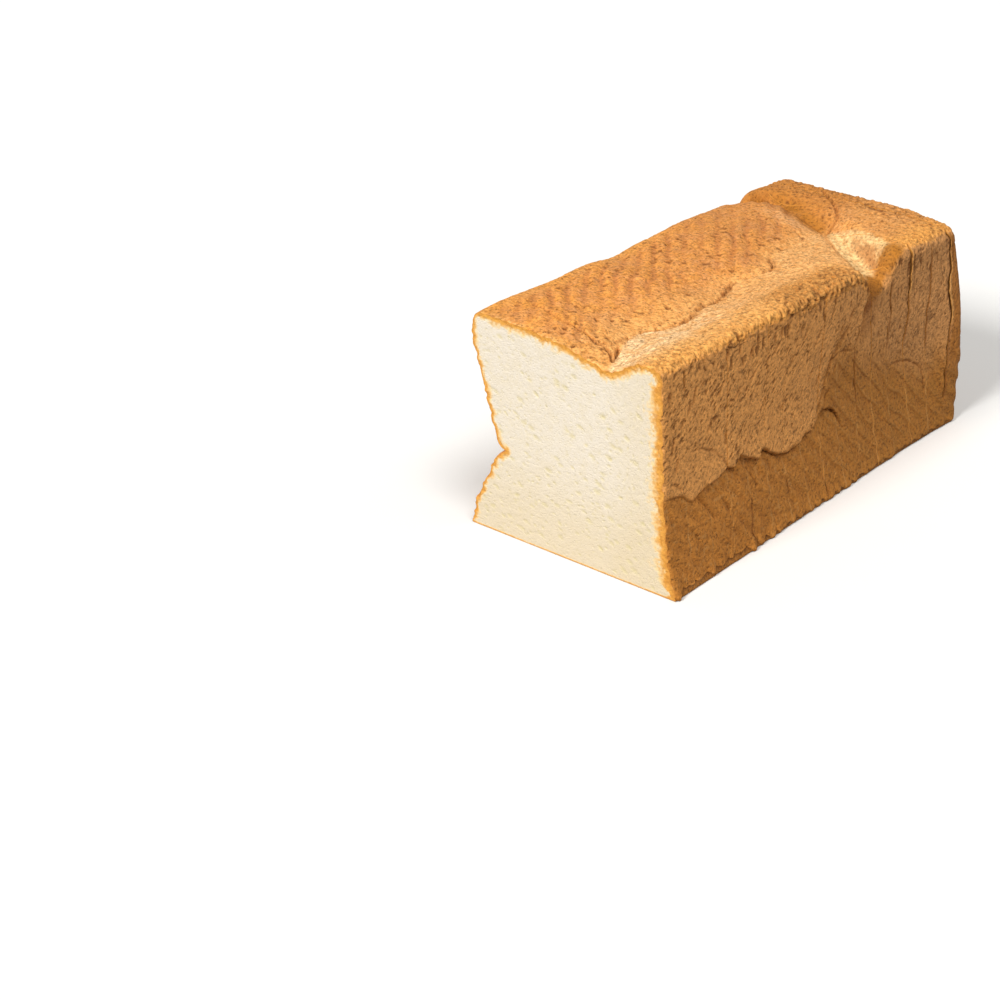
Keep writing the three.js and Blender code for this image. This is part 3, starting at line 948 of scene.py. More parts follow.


# Wrinkles in words: a bell of depth and of painted shade across each line, which strays by a little noise
def addWrinkles(skin):
    along, z = skin.along, skin.z
    wrinkle, small, slit = creases["wrinkle"], creases["small"], creases["slit"]
    strayed = z + wrinkle["under"] + 0.3 * noise(along / 1.2, z / 1.2, 0, 30)
    away, _ = pathDistance(along, strayed, wrinklePath)
    line = bump(away, 0, wrinkle["width"]) * follow(wrinkleDepth, along) * skin.onRight
    carve(skin, line, wrinkle["depth"], wrinkle["dark"])
    strayed = z + 0.4 * noise(along / 1.5, z / 1.5, 0, 31)
    strength = np.clip(0.8 + 0.5 * noise(along / 2, z / 2, 0, 32), 0, 1) * skin.onRight
    for path in sideWrinkles:
        away, _ = pathDistance(along, strayed, path)
        carve(skin, bump(away, 0, small["width"]) * strength, small["depth"], small["dark"])
    for path in sideSlits:
        away, _ = pathDistance(along, z + 0.3 * skin.wander, path)
        carve(skin, bump(away, 0, slit["width"]) * skin.onRight, slit["depth"], slit["dark"])


# The step on the right side, seen from its lip backwards
stepSet = {
    "recess": 1.9,
    "recessPlace": 3.6,
    "recessReach": 3.0,
    "recessFrom": (68, 82),
    "lip": 0.5,
    "lipPlace": -2.5,
    "lipReach": 2.5,
    "lipFrom": (66, 80),
    # Painted shadow right behind the lip, and a weaker painted shade further back
    "stepShadowTo": (13.5, 10),
    "stepShadowHeight": 86.5,
    "stepShadowReach": 5.0,
    "stepShadeTo": (21, 11),
    "stepShadeBelow": (100, 92),
    "stepShadeShare": 0.5,
}


# Step in words: a bell of depth behind its lip, a low bell on the lip, and painted shadow and shade in the
# hollow behind it
def addStep(skin):
    x, along, z, values = skin.x, skin.along, skin.z, stepSet
    behindLip = along - stepLine(z)
    recess = bump(behindLip, values["recessPlace"], values["recessReach"])
    recess = recess * smooth(*values["recessFrom"], z) * smooth(6, 1, skin.aboveShoulder) * (x > 20)
    lip = bump(behindLip, values["lipPlace"], values["lipReach"]) * smooth(*values["lipFrom"], z)
    skin.relief += values["lip"] * lip * skin.onRight - values["recess"] * recess
    stepShadow = smooth(*values["stepShadowTo"], behindLip + 0.8 * noise(z / 2, along / 2, 0, 69))
    stepShadow = stepShadow * bump(z, values["stepShadowHeight"], values["stepShadowReach"])
    stepShade = smooth(*values["stepShadeTo"], behindLip) * smooth(*values["lipFrom"], z)
    stepShade = values["stepShadeShare"] * stepShade * smooth(*values["stepShadeBelow"], z)
    darken(skin, smooth(-0.5, 0.7, behindLip) * (x > 40) * np.maximum(stepShadow, stepShade))


# The lower side that the tin pressed smooth, and the foot
pressedSet = {
    "shinglePitch": 7.9,
    "shingleHeight": 0.75,
    "crispFrom": (70, 150),  # where along the loaf the shingles get crisp
    "crispLeast": 0.3,
    "edgeShade": 0.6,
    "edgeLight": 0.5,
    "faintShade": 0.3,
    "swell": 0.62,
    "fuzz": 0.2,
    "fuzzTo": (230, 60),
    "crumbLight": 0.45,
    "calmTo": (52, 36),
    "calmBelow": (78, 62),
    "calmShare": 0.55,
}
footSet = {"scallop": 4.2, "pitch": 8.3, "middle": 0.8, "height": 3.6, "rearLoss": 0.65}


# Pressed side in words: shingles that fall towards the heel, each edge standing over the next, as a
# saw of that pitch where they are crisp and as a sine where they are worn
def addPressed(skin):
    along, z, values = skin.along, skin.z, pressedSet
    band = (z * 0.68 + along * 0.73 + 1.6 * noise(along / 12, z / 12, 0, 33)) / values["shinglePitch"]
    saw = band - np.floor(band)
    own = scatter(wholeCells(band), np.uint32(0), np.uint32(0), 38)
    crisp = blend(values["crispLeast"], 1, smooth(*values["crispFrom"], along)) * (0.35 + 0.65 * own)
    crisp = crisp * smooth(4, 14, z) * np.clip(0.9 + 0.8 * noise(along / 9, z / 9, 0, 39), 0, 1)
    pressed = (skin.onRight + skin.onLeft) * (1 - skin.upper)
    edge = (1 - saw) * smooth(0, 0.09, saw)
    wave = np.sin(2 * math.pi * saw) * smooth(3, 12, z)
    skin.relief += values["shingleHeight"] * blend(values["swell"] * wave, edge, crisp) * pressed
    atEdge = np.maximum(bump(saw, 1.0, 0.1), bump(saw, 0, 0.03))
    darken(skin, values["edgeShade"] * crisp * pressed * atEdge)
    faint = np.clip(-wave, 0, 1) * np.clip(0.8 + 0.8 * noise(along / 6, z / 6, 0, 67), 0, 1)
    darken(skin, values["faintShade"] * faint * (1 - crisp) * pressed)
    light = values["edgeLight"] * crisp * pressed * bump(saw, 0.1, 0.05)
    pressedFront = pressed * smooth(*values["fuzzTo"], along)
    crumbs = ragged(along / 2.2, z / 2.2, 68, -0.62) * pressedFront
    skin.plan["line"] = np.maximum(light, values["crumbLight"] * crumbs)
    skin.fine += values["fuzz"] * cloud(along / 1.5, z / 1.5, 0, 48, 2) * pressedFront
    calmer = smooth(*values["calmTo"], along) * smooth(*values["calmBelow"], z) * skin.onRight
    skin.fine = skin.fine * (1 - values["calmShare"] * calmer)
    skin.dent = skin.dent * (1 - values["calmShare"] * calmer * (skin.dent < 0.85))


# Lobes of the foot in words: the size of a sine whose pitch and height vary a little
def footLobe(along, side):
    uneven = 2.4 * noise(along / 7, side, 0, 34) + 0.8 * noise(along / 1.9, side, 0, 45)
    height = np.clip(0.85 + 0.5 * noise(along / 9, side, 1, 46), 0.3, 1.2)
    return height * np.abs(np.sin(math.pi * (along + uneven) / footSet["pitch"]))


# Foot in words: lobes that die away upwards, smaller behind the first few slices
def addFoot(skin):
    lobe = footLobe(skin.along, skin.side)
    foot = footSet["scallop"] * (1 - footSet["rearLoss"] * smooth(50, 90, skin.along))
    skin.relief += foot * (lobe - footSet["middle"]) * np.exp(-skin.z / footSet["height"]) * (1 - skin.under)
    # The foot mask darkens the bottom edge: partly painted contact shadow, partly the darker crust of the
    # base
    skin.plan["foot"] = smooth(3.2, 0.4, skin.z + 1.6 * lobe) * (1 - skin.under)


# Where the side's colours begin, and how softly
sidePaint = {
    "crispEdge": 2,
    "softEdge": 15,
    "softFrom": (118, 134),
    "drip": (0.9, 4.5),
    "dripShare": 0.85,
}
# Golden runs over the shoulder, as (along, height)
goldenDrips = [(79.6, 105), (103, 104.5), (118, 104)]


# Side's colours in words: smooth steps across the shoulder line and across the wrinkle, both frayed
# by noise, and a bell round each golden run
def paintSide(skin):
    x, along, z, plan, values = skin.x, skin.along, skin.z, skin.plan, sidePaint
    edge = smooth(0.9, -0.9, skin.aboveShoulder + skin.fringe) * smooth(0.82, 0.55, skin.upward)
    plan["side"] = np.where((skin.side > 0) & (x > 20), edge, 1 - smooth(0.05, 0.5, skin.upward))
    soft = smooth(*values["softFrom"], along)
    softness = blend(values["crispEdge"], values["softEdge"], soft)
    lower = np.where(skin.side > 0, np.minimum(skin.above, skin.abovePressed), skin.aboveNotch)
    lower = lower + 2.0 * noise(along / 5, z / 5, 0, 37) + 5.0 * noise(along / 13, z / 13, 0, 66) * soft
    plan["pressed"] = np.maximum(smooth(softness, -softness, lower), skin.under) * plan["side"]
    skin.drip = marks(along, z, goldenDrips, *values["drip"], 0) * (x > 30)
    skin.wall = plan["side"]
    plan["side"] = plan["side"] * (1 - values["dripShare"] * skin.drip)


# Shares of each colour of the top
topPaint = {
    "rollWide": (-34, -12),  # how far before the crease the roll's colour begins, in front and behind
    "rollNarrows": (60, 130),
    "rollOnRear": 0.35,
    "paleAcross": (57, 36),
    "paleFades": (25, 110),
    "paleLoss": 0.85,
    "frontPale": 0.8,
    "frontPaleReach": 1.1,
    "calmPale": 0.25,
    "rearRough": 0.6,
    "rearRoughFrom": (226, 240),
    "goldenAcross": (30, 47),
    "goldenEnd": (168, 176),
    "goldenAgain": (206, 200),
    "goldenLeft": (-42, -54),
    "goldenLeftTo": (150, 120),
    "rearAcross": (4, -16),
    "farAlong": (15, 215),
}


# Top's colours in words: products of smooth steps across the loaf and along it, the strongest counting
def paintTop(skin):
    x, along, top, plan, values = skin.x, skin.along, skin.top, skin.plan, topPaint
    past, isFront, isRear, uneven = skin.pastCrease, skin.isFront, skin.isRear, skin.uneven
    rollFrom = blend(*values["rollWide"], smooth(*values["rollNarrows"], along))
    rearRoll = values["rollOnRear"] * top * isRear * smooth(-4, 6, x)
    plan["roll"] = np.maximum(top * isFront * smooth(rollFrom, 2, past), rearRoll)
    onRoll = top * isFront * smooth(-1, 2.5, past) * smooth(*values["paleAcross"], x)
    fades = 1 - values["paleLoss"] * smooth(*values["paleFades"], along)
    frontPale = values["frontPale"] * np.exp(-along / values["frontPaleReach"]) * uneven * top * isFront
    plan["pale"] = np.maximum(onRoll * fades * np.clip(uneven + 0.45, 0, 1), frontPale)
    plan["pale"] = np.maximum(plan["pale"], values["calmPale"] * skin.calm * top)
    rearRough = values["rearRough"] * top * isRear * smooth(*values["rearRoughFrom"], along)
    plan["rough"] = np.clip(skin.porous + rearRough, 0, 1)
    atShoulder = bump(skin.aboveShoulder, 2.5, 4.0) * smooth(*values["goldenAcross"], x) * (1 - skin.wall)
    bare = smooth(*values["goldenEnd"], along) * smooth(*values["goldenAgain"], along) * smooth(49, 43, x)
    atLeft = 0.7 * smooth(*values["goldenLeft"], x) * smooth(*values["goldenLeftTo"], along)
    atFront = (np.exp(-along / 3.5) * uneven + atLeft) * skin.plateau
    golden = np.maximum(atShoulder * (1 - bare), skin.drip) + 0.4 * skin.porous
    plan["golden"] = np.clip(np.maximum(golden, atFront), 0, 1)
    plan["rear"] = isRear * smooth(*values["rearAcross"], x)
    # Darker towards the heel: painted falloff of the light
    plan["far"] = smooth(*values["farAlong"], along)


# The pale floor of the trough, and the dark amber, which behind the step is painted shade
troughPaint = {
    "across": (0, 5),
    "to": (49, 41),
    "calmFine": 0.6,
    "calmDent": 0.8,
    # On the far wall, less saddle colour and some pale: painted light
    "wallFrom": (0.94, 0.8),
    "wallLoss": 0.25,
    "wallPaintedLight": 0.4,
}
amberPaint = {
    "band": (2.0, 3.4),  # height over the shoulder line, and reach
    "bandFrom": (160, 167),
    "bandTo": (206, 198),
    "bandAcross": (38, 45),
    "bandShare": 1.4,
    "gullyTo": (183, 175),
    "gullyFrom": (84, 93),
    "gullyShare": 0.85,
    "seamReach": 7.5,
    "heelFrom": (238.5, 241),
    "heelShare": 0.7,
    "heelShade": 0.38,
    "frontShare": 0.3,
    "frontReach": 5,
}
# Edge of the pale floor of the trough towards the heel, as (across, along)
saddleEdge = [(0, 208.6), (16, 209.6), (26, 208), (36, 205.5), (46, 201)]


# Trough in words: a smooth step in from each of its edges, where the relief is calm and pale, with the pale
# colour painted light on its shaded far wall
def paintTrough(skin):
    x, along, plan, values = skin.x, skin.along, skin.plan, troughPaint
    saddleEnd = follow(saddleEdge, x) - along + 0.8 * skin.warp
    onSaddle = smooth(-2, 1, along - footLine(x, seam["troughFront"])) * smooth(-1.5, 1.5, saddleEnd)
    onSaddle = smooth(0.0, 0.3, skin.upward) * onSaddle * smooth(*values["across"], x)
    onSaddle = onSaddle * smooth(*values["to"], x + 0.8 * skin.fringe)
    skin.fine = skin.fine * (1 - values["calmFine"] * onSaddle)
    skin.dent = skin.dent * (1 - values["calmDent"] * onSaddle)
    # Far wall: the saddle colour gives way to the pale one, painted light where the wall is shaded
    farWall = onSaddle * smooth(*values["wallFrom"], skin.upward)
    plan["saddle"] = onSaddle * (1 - values["wallLoss"] * farWall)
    plan["pale"] = np.maximum(plan["pale"], values["wallPaintedLight"] * farWall)


# Amber in words: bells along the shoulder's band, the seam and the front edge, smooth steps behind
# the step, as painted shade, and at the heel, and spots of noise, the strongest counting
def paintAmber(skin):
    x, along, z, values = skin.x, skin.along, skin.z, amberPaint
    band = bump(skin.aboveShoulder + 0.5 * skin.fringe, *values["band"])
    band = band * smooth(*values["bandFrom"], along) * smooth(*values["bandTo"], along)
    band = band * smooth(*values["bandAcross"], x + 0.7 * skin.fringe)
    # Painted shade in the hollow behind the step
    gully = smooth(-0.4, 0.8, along - stepLine(z)) * smooth(*values["gullyTo"], along)
    gully = gully * smooth(*values["gullyFrom"], z) * (x > 40)
    blotch = np.clip(0.95 + 0.7 * noise(x / 5, along / 5, 2, 65), 0, 1)
    valley = bump(along - leftSeam(x), 0, values["seamReach"]) * blotch
    valley = valley * smooth(6, -4, x) * smooth(0.1, 0.5, skin.upward)
    spots = smooth(0.1, 0.6, noise(x / 3.1, along / 3.1, 1, 44))
    spots = 0.8 * spots * skin.plateau * np.exp(-along / 3.5)
    heelEdge = smooth(*values["heelFrom"], along) * skin.onRight * smooth(20, 45, z)
    rusty = values["frontShare"] * np.exp(-along / values["frontReach"]) * skin.onRight * skin.uneven
    strongest = np.maximum(values["bandShare"] * band, np.maximum(valley, spots))
    strongest = np.maximum(strongest, values["heelShare"] * heelEdge)
    strongest = np.maximum(strongest, values["gullyShare"] * gully)
    skin.plan["amber"] = np.clip(rusty + strongest, 0, 1)
    darken(skin, values["heelShade"] * heelEdge)


# Relief in words: the sum of swells, grain, ribs, dents, cracks and wrinkles, each kept to its part
# of the loaf by a mask. It also gives the masks that the materials read
def crustSurface(x, along, z, upward, side):
    skin = startSkin(x, along, z, upward, side)
    for add in (addPlateau, addCracks, addRoll, addSide, addWrinkles, addStep, addPressed, addFoot):
        add(skin)
    fringe = 1.6 * noise(along / 2.4, x / 2.4, z / 2.4, 36)
    skin.fringe = fringe + 1.0 * noise(along / 0.9, x / 0.9, z / 0.9, 35)
    skin.uneven = np.clip(0.5 + 0.9 * noise(x / 4.5, along / 4.5, z / 4.5, 47), 0, 1)
    for paint in (paintSide, paintTop, paintTrough, paintAmber):
        paint(skin)
    # Painted shade of pits, cracks, wrinkles, shingle edges, the hollow behind the step and open cuts
    skin.plan["dent"] = np.clip(skin.dent, 0, 1)
    # Painted shade in the low places of the fine relief
    skin.plan["hollow"] = smooth(0.2, -0.75, skin.fine)
    return (skin.relief + skin.fine * skin.lively) * (1 - skin.under), skin.plan


# Where the cuts show, as (cut number, from height, to height, half the gap)
openCuts = [
    (4, 3, 27, 0.2), (6, 14, 24, 0.2), (8, 2, 9, 0.2), (10, 38, 80, 0.25), (12, 58, 93, 0.45),
    (13, 57, 106, 0.42), (14, 50, 101, 0.18), (15, 16, 108, 0.5), (15, 73, 79, 0.85),
]
# How a cut looks. Reaches are along the loaf from the cut
cutSet = {
    "closed": 0.02,  # half the gap where a cut doesn't show
    "openFrom": 0.15,  # half the gap from which its edges are rounded more
    "openRounding": 0.3,
    "closedRounding": 0.08,
    "roundingReach": 0.35,
    "gapReach": 1.5,
    "standReach": 2.5,
    "standLine": 1.3,
    "paleReach": 0.36,
    "darkReach": 0.6,
    "dark": 0.95,
    "wander": 0.7,  # how far an open cut strays
    "wanderReach": 7,
}
# Cuts where the slice behind stands out past the one before, as cut number: (how far, from height)
cutSteps = {13: (0.7, 84), 15: (0.5, 60)}
# How far a cut runs off its place on the right side, as cut number: (height, distance along)
cutDrift = {
    10: [(0, 0), (40, 2.0), (60, 0.3), (113, 0)],
    12: [(0, 0), (50, -1.5), (60, -2.2), (70, -1.2), (76, 2), (95, 1), (113, 0)],
    13: [(0, 0), (45, -1.5), (57, -3), (62, -1.2), (71, 0.6), (104, 0.6), (113, 0)],
    14: [(0, 0), (41, 0), (54, -1.2), (74, -0.7), (81, 1.6), (100, 1.8), (113, 0.5)],
    15: [(0, -1.5), (16, -2.6), (28, -3.4), (46, -1.8), (54, -1), (62, 1.3), (70, 0.8), (76, -1.2),
         (80, -0.5), (86, 2.6), (98, 4), (113, 4)],
}
# The rounded edge round the open face, and how far the base lifts between two lobes of the foot
faceEdge = {"rounding": 0.6, "uneven": 0.7, "size": 2.2, "reach": 0.9}
footLift = {"height": 3.0, "reach": 3.0, "rearFrom": (55, 90)}


# Half gap in words: nearly nothing, but wider within the listed heights on the right side. It also
# gives the share to which the cut is open
def halfGap(cut, x, z, upward):
    gap = np.full(x.shape, cutSet["closed"])
    openShare = np.zeros(x.shape)
    for number, low, high, width in openCuts:
        if number == cut:
            within = smooth(low - 3, low + 3, z) * smooth(high + 3, high - 3, z) * (x > 20)
            within = within * smooth(0.8, 0.45, upward)
            gap = np.maximum(gap, width * within * (0.75 + 0.45 * noise(z / 3.3, cut, 0, 41)))
            openShare = np.maximum(openShare, within)
    return gap, openShare


# Slice's edge at one cut in words: the relief loses the rounding and gains the step, the rings near
# the cut move by half the gap and by the cut's drift, and the masks get its pale line, painted light
# where the slice behind stands out, and painted shade where the gap is open, all of it dying away
# with the distance from the cut. It gives the share to which the cut is open
def shapeCut(cut, column, rings, relief, masks):
    values = cutSet
    x, z, upward = rings.x[:, column], rings.z[:, column], rings.upward[:, column]
    gap, openShare = halfGap(cut, x, z, upward)
    closedRounding = values["closedRounding"] * (upward < 0.5)
    rounding = np.where(gap > values["openFrom"], values["openRounding"], closedRounding)
    fromCut = np.abs(rings.along - rings.along[:, column][:, None])
    relief -= rounding[:, None] * np.exp(-fromCut / values["roundingReach"])
    standing = np.zeros(len(gap))
    if cut in cutSteps and column == 0:
        far, low = cutSteps[cut]
        standing = far * smooth(low - 6, low + 6, z) * (x > 20) * smooth(0.9, 0.5, upward)
    relief += standing[:, None] * np.exp(-fromCut / values["standReach"])
    wander = values["wander"] * noise(z / 4.6, cut, 0, 43) * openShare
    if cut in cutDrift:
        wander = wander + follow(cutDrift[cut], z) * smooth(18, 48, x)
    wander = wander[:, None] * np.clip(1 - fromCut / rings.thickness, 0, 1)
    shift = (gap - block["kerf"] / 2) * (1 if column == 0 else -1)
    rings.along = rings.along + shift[:, None] * np.exp(-fromCut / values["gapReach"])
    rings.along = rings.along + wander * np.exp(-fromCut / values["wanderReach"])
    strength = np.clip(0.75 + 0.6 * noise(rings.z / 5.0, cut, 0, 61), 0, 1) * (1 - openShare)[:, None]
    pale = bump(fromCut, 0, values["paleReach"]) * masks["pressed"] * strength
    # Painted light: a strip along the edge of the slice that stands out, where the front light falls
    strip = bump(fromCut, 0, values["standLine"]) * np.clip(2 * standing, 0, 1)[:, None]
    masks["line"] = np.maximum(masks["line"], 0.8 * np.maximum(pale, strip))
    # Painted shade in the open gap
    dark = bump(fromCut, 0, values["darkReach"]) * openShare[:, None] * (1 - np.clip(1.4 * strip, 0, 1))
    masks["dent"] = np.maximum(masks["dent"], values["dark"] * dark)
    return openShare


# Rings in words: the outline at each distance, pushed out along the surface's own direction by the
# relief, then slipped sideways and leaned back as that slice is
def crustRings(index, places, outlinePlaces, insets, cuts):
    x, z = outlineAt(outlinePlaces)
    along = np.broadcast_to(np.asarray(places, float)[None, :], x.shape).copy()
    armX, armZ = x, z - block["height"] / 2
    arm = np.hypot(armX, armZ)
    x = x - armX / arm * insets[None, :]
    z = z - armZ / arm * insets[None, :]
    dxu, dzu = np.roll(x, -1, 0) - np.roll(x, 1, 0), np.roll(z, -1, 0) - np.roll(z, 1, 0)
    dxs, dys, dzs = (np.gradient(v, axis=1) for v in (x, along, z))
    # direction out of the surface: the one along the loaf crossed with the one round the outline
    nx, ny, nz = dys * dzu, dzs * dxu - dxs * dzu, -dys * dxu
    size = np.sqrt(nx * nx + ny * ny + nz * nz)
    nx, ny, nz = nx / size, ny / size, nz / size
    side = np.where(x > 0, 1, -1)
    relief, masks = crustSurface(x, along, z, nz, side)
    rings = SimpleNamespace(x=x, along=along, z=z, upward=nz, thickness=max(places[-1] - places[0], 1))
    openShares = [shapeCut(cut, column, rings, relief, masks) for cut, column in cuts]
    along = rings.along
    if index == 0:
        grain = noise(x / faceEdge["size"], z / faceEdge["size"], 0, 49)
        rounding = (faceEdge["rounding"] + faceEdge["uneven"] * grain) * smooth(-0.95, -0.6, nz)
        relief -= rounding * np.exp(-(along - along[:, :1]) / faceEdge["reach"])
    x = x + nx * relief
    z = np.maximum(z + nz * relief, 0)
    rearLoss = footSet["rearLoss"] * smooth(*footLift["rearFrom"], along)
    lift = footLift["height"] * np.clip(1 - footLobe(along, side), 0, 1) * (1 - rearLoss)
    z = z + lift * bump(z, 0, footLift["reach"]) * smooth(-0.95, -0.4, nz)
    y = along + ny * relief - loafMiddle + lean(index) * z
    x = x + sideSlip(index)
    points = np.stack([x, y, z], -1).transpose(1, 0, 2)
    return points, {key: value.T for key, value in masks.items()}, openShares


# Relief of the open cut face, in millimetres, and how strongly each kind of pore is coloured
crumbRelief = {
    "big": 0.32,
    "fine": 0.14,
    "soft": 0.1,
    "wide": 0.2,
    "tilt": (22, 44),  # how far across the pores turn upright
    "rim": 2.2,
}
crumbShade = {"big": 0.9, "fine": 0.3, "wide": 0.8}


# Crumb relief in words: long shallow dents of two sizes that lie flat in the middle and stand
# upright by the right wall, and a fine unevenness
def crumbSurface(x, z, away):
    tilt = smooth(*crumbRelief["tilt"], x)
    flatA, flatB = x * 0.94 - z * 0.34, z * 0.94 + x * 0.34
    bend = 0.8 * noise(x / 5, z / 5, 0.4, 51)
    lying = dents((flatA + bend) / 3.9, (flatB - bend) / 2.3, 52, 0.42, 0.36)
    upright = dents((x + bend) / 2.3, (z - bend) / 4.2, 53, 0.42, 0.36)
    fineLying = dents(flatA / 1.9, flatB / 1.15, 54, 0.6, 0.4)
    fineUpright = dents(x / 1.1, z / 2.3, 55, 0.6, 0.4)
    patch = 0.45 + 0.55 * smooth(-0.5, 0.6, noise(x / 17, z / 17, 0.2, 56))
    layers = {
        "big": blend(lying, upright, tilt) * patch,
        "fine": blend(fineLying, fineUpright, tilt),
        "soft": cloud(x / 2.4, z / 2.4, 0.5, 57, 2),
        "wide": dents((flatA + bend) / 8.5, (flatB - bend) / 4.6, 58, 0.45, 0.34),
    }
    inside = smooth(0.0, crumbRelief["rim"], away)
    depth = sum(crumbRelief[key] * layer for key, layer in layers.items()) * inside
    pore = sum(crumbShade[key] * layers[key] for key in crumbShade)
    return depth, np.clip(pore, 0, 1) * inside


# Width of the golden rim round a cut face in words: a number for each side, blended at the corners
rimSet = {"base": 1.1, "right": 9.0, "roof": 5.0, "left": 3.4, "spread": 9}


def rimWidth():
    counts = {"base": topPoints, "right": sidePoints, "roof": topPoints, "left": sidePoints}
    widths = np.concatenate([np.full(count, rimSet[key]) for key, count in counts.items()])
    spread = rimSet["spread"]
    padded = np.concatenate([widths[-spread:], widths, widths[:spread]])
    box = np.ones(2 * spread + 1) / (2 * spread + 1)
    return np.convolve(padded, box, "valid")


rimWidths = rimWidth()


# Patch in words: across a closed ring of points, the sum of the two ruled surfaces between its
# opposite edges, less the bilinear one between its four corners
def patchOver(ring):
    closed = np.concatenate([ring, ring[:1]])
    n, m = topPoints, sidePoints
    bottom, right = closed[: n + 1], closed[n : n + m + 1]
    roof, left = closed[n + m : 2 * n + m + 1][::-1], closed[2 * n + m :][::-1]
    u = np.linspace(0, 1, n + 1)[None, :, None]
    v = np.linspace(0, 1, m + 1)[:, None, None]
    ruled = (1 - u) * left[:, None] + u * right[:, None] + (1 - v) * bottom[None] + v * roof[None]
    corners = (1 - v) * ((1 - u) * bottom[0] + u * bottom[-1]) + v * ((1 - u) * roof[0] + u * roof[-1])
    return ruled - corners


# Numbers of a patch's points: its border uses the ring's own points, the inside is new
def patchNumbers(ringStart, insideStart):
    n, m = topPoints, sidePoints
    numbers = np.empty((m + 1, n + 1), int)
    ring = ringStart + np.arange(outlineCount + 1) % outlineCount
    numbers[0] = ring[: n + 1]
    numbers[:, -1] = ring[n : n + m + 1]
    numbers[-1] = ring[n + m : 2 * n + m + 1][::-1]
    numbers[:, 0] = ring[2 * n + m :][::-1]
    numbers[1:-1, 1:-1] = insideStart + np.arange((m - 1) * (n - 1)).reshape(m - 1, n - 1)
    return numbers


# Four-sided faces between the neighbours of a grid of points
def gridFaces(numbers):
    faces = np.stack([numbers[:-1, :-1], numbers[:-1, 1:], numbers[1:, 1:], numbers[1:, :-1]], -1)
    return faces.reshape(-1, 4)


# Distance in words: from each point of a patch to the nearest point of the ring, and which one it
# is, worked out for a batch of points at a time
def nearestOnRing(points, ring, batch=4000):
    nearest = np.empty(len(points))
    which = np.empty(len(points), int)
    for start in range(0, len(points), batch):
        part = points[start : start + batch]
        away = (part[:, None, 0] - ring[None, :, 0]) ** 2 + (part[:, None, 1] - ring[None, :, 1]) ** 2
        which[start : start + batch] = away.argmin(1)
        nearest[start : start + batch] = np.sqrt(away.min(1))
    return nearest, which


# Masks of the crust and of the crumb, one number at each point
maskNames = [
    "side", "pressed", "roll", "pale", "golden", "rough", "saddle", "amber", "rear", "far", "dent", "rib",
    "foot", "line", "hollow", "rim", "pore", "warm", "shade",
]
sharpEdge = 1.25  # angle in radians between two faces from which their edge is drawn sharp


# Body of a slice while it is built: lists of points, faces and masks
def newBody():
    return SimpleNamespace(points=[], quads=[], quadMaterials=[], triangles=[], count=0,
                           masks={key: [] for key in maskNames})


# Adds points, with nothing in the masks that aren't given, and says which number they start at
def addPoints(body, points, masks):
    start = body.count
    body.points.append(points)
    for key, parts in body.masks.items():
        parts.append(masks.get(key, np.zeros(len(points))))
    body.count += len(points)
    return start


def addQuads(body, faces, material, turned=False):
    body.quads.append(faces[:, ::-1] if turned else faces)
    body.quadMaterials.append(np.full(len(faces), material))


# Mesh in words: points in metres, four-sided and three-sided faces, a material for each face and
# one number at each point for every mask
def makePiece(name, body, materials):
    points = np.concatenate(body.points) * metres
    quads = np.concatenate(body.quads)
    triangles = np.concatenate(body.triangles)
    loops = np.concatenate([quads.ravel(), triangles.ravel()]).astype(np.int32)
    starts = np.concatenate([np.arange(len(quads)) * 4, len(quads) * 4 + np.arange(len(triangles)) * 3])
    numbers = np.concatenate([*body.quadMaterials, np.full(len(triangles), crumbSlot)]).astype(np.int32)
    mesh = bpy.data.meshes.new(name)
    mesh.vertices.add(len(points))
    mesh.vertices.foreach_set("co", points.astype(np.float32).ravel())
    mesh.loops.add(len(loops))
    mesh.loops.foreach_set("vertex_index", loops)
    mesh.polygons.add(len(starts))
    mesh.polygons.foreach_set("loop_start", starts.astype(np.int32))
    for finish in materials:
        mesh.materials.append(finish)
    mesh.polygons.foreach_set("material_index", numbers)
    mesh.polygons.foreach_set("use_smooth", np.ones(len(numbers), bool))
    for key, parts in body.masks.items():
        layer = mesh.attributes.new(key, "FLOAT", "POINT")
        layer.data.foreach_set("value", np.concatenate(parts).astype(np.float32))
    mesh.update()
    mesh.validate()
    mesh.set_sharp_from_angle(angle=sharpEdge)
    piece = bpy.data.objects.new(name, mesh)
    bpy.context.scene.collection.objects.link(piece)
    return piece


crustSlot, crumbSlot = 0, 1
ringCapInsets = [0.5, 1.2, 2.2, 3.6, 6.0, 14.0, 30.0]
ringSet = {"edge": 0.25, "second": 0.7, "between": 25, "betweenHeel": 11}
faceSet = {
    "rimUneven": 0.36,
    "rimFrayed": 0.3,
    "warm": 0.8,
    "warmBelow": (62, 8),
    "warmRight": 0.45,
    "warmAcross": (20, 46),
    "rough": 0.35,
    "shadeReach": 4,
}


# Open face in words: a patch over the ring with the crumb's relief, and a rim whose width frays
def closeWithFace(body, ring, ringStart):
    grid = patchOver(ring)
    inside = grid[1:-1, 1:-1].reshape(-1, 3)
    x, z = inside[:, 0], inside[:, 2]
    away, which = nearestOnRing(inside[:, [0, 2]], ring[:, [0, 2]])
    depth, pore = crumbSurface(x, z, away)
    uneven = faceSet["rimUneven"] * noise(x / 3.4, z / 3.4, 0, 62)
    uneven = uneven + faceSet["rimFrayed"] * noise(x / 1.1, z / 1.1, 0, 64)
    rim = np.clip(1 - away / (rimWidths[which] * (1 + uneven)), 0, 1)
    warm = faceSet["warm"] * smooth(*faceSet["warmBelow"], z)
    warm = warm + faceSet["warmRight"] * smooth(*faceSet["warmAcross"], x)
    rough = faceSet["rough"] * cloud(x / 1.5, z / 1.5, 0.4, 63, 2) * smooth(0.15, 0.6, rim)
    inside[:, 1] += depth - rough * smooth(0, 0.8, away)
    numbers = patchNumbers(ringStart, body.count)
    addPoints(body, inside, {"rim": rim, "pore": pore, "warm": np.clip(warm, 0, 1)})
    addQuads(body, gridFaces(numbers), crumbSlot)


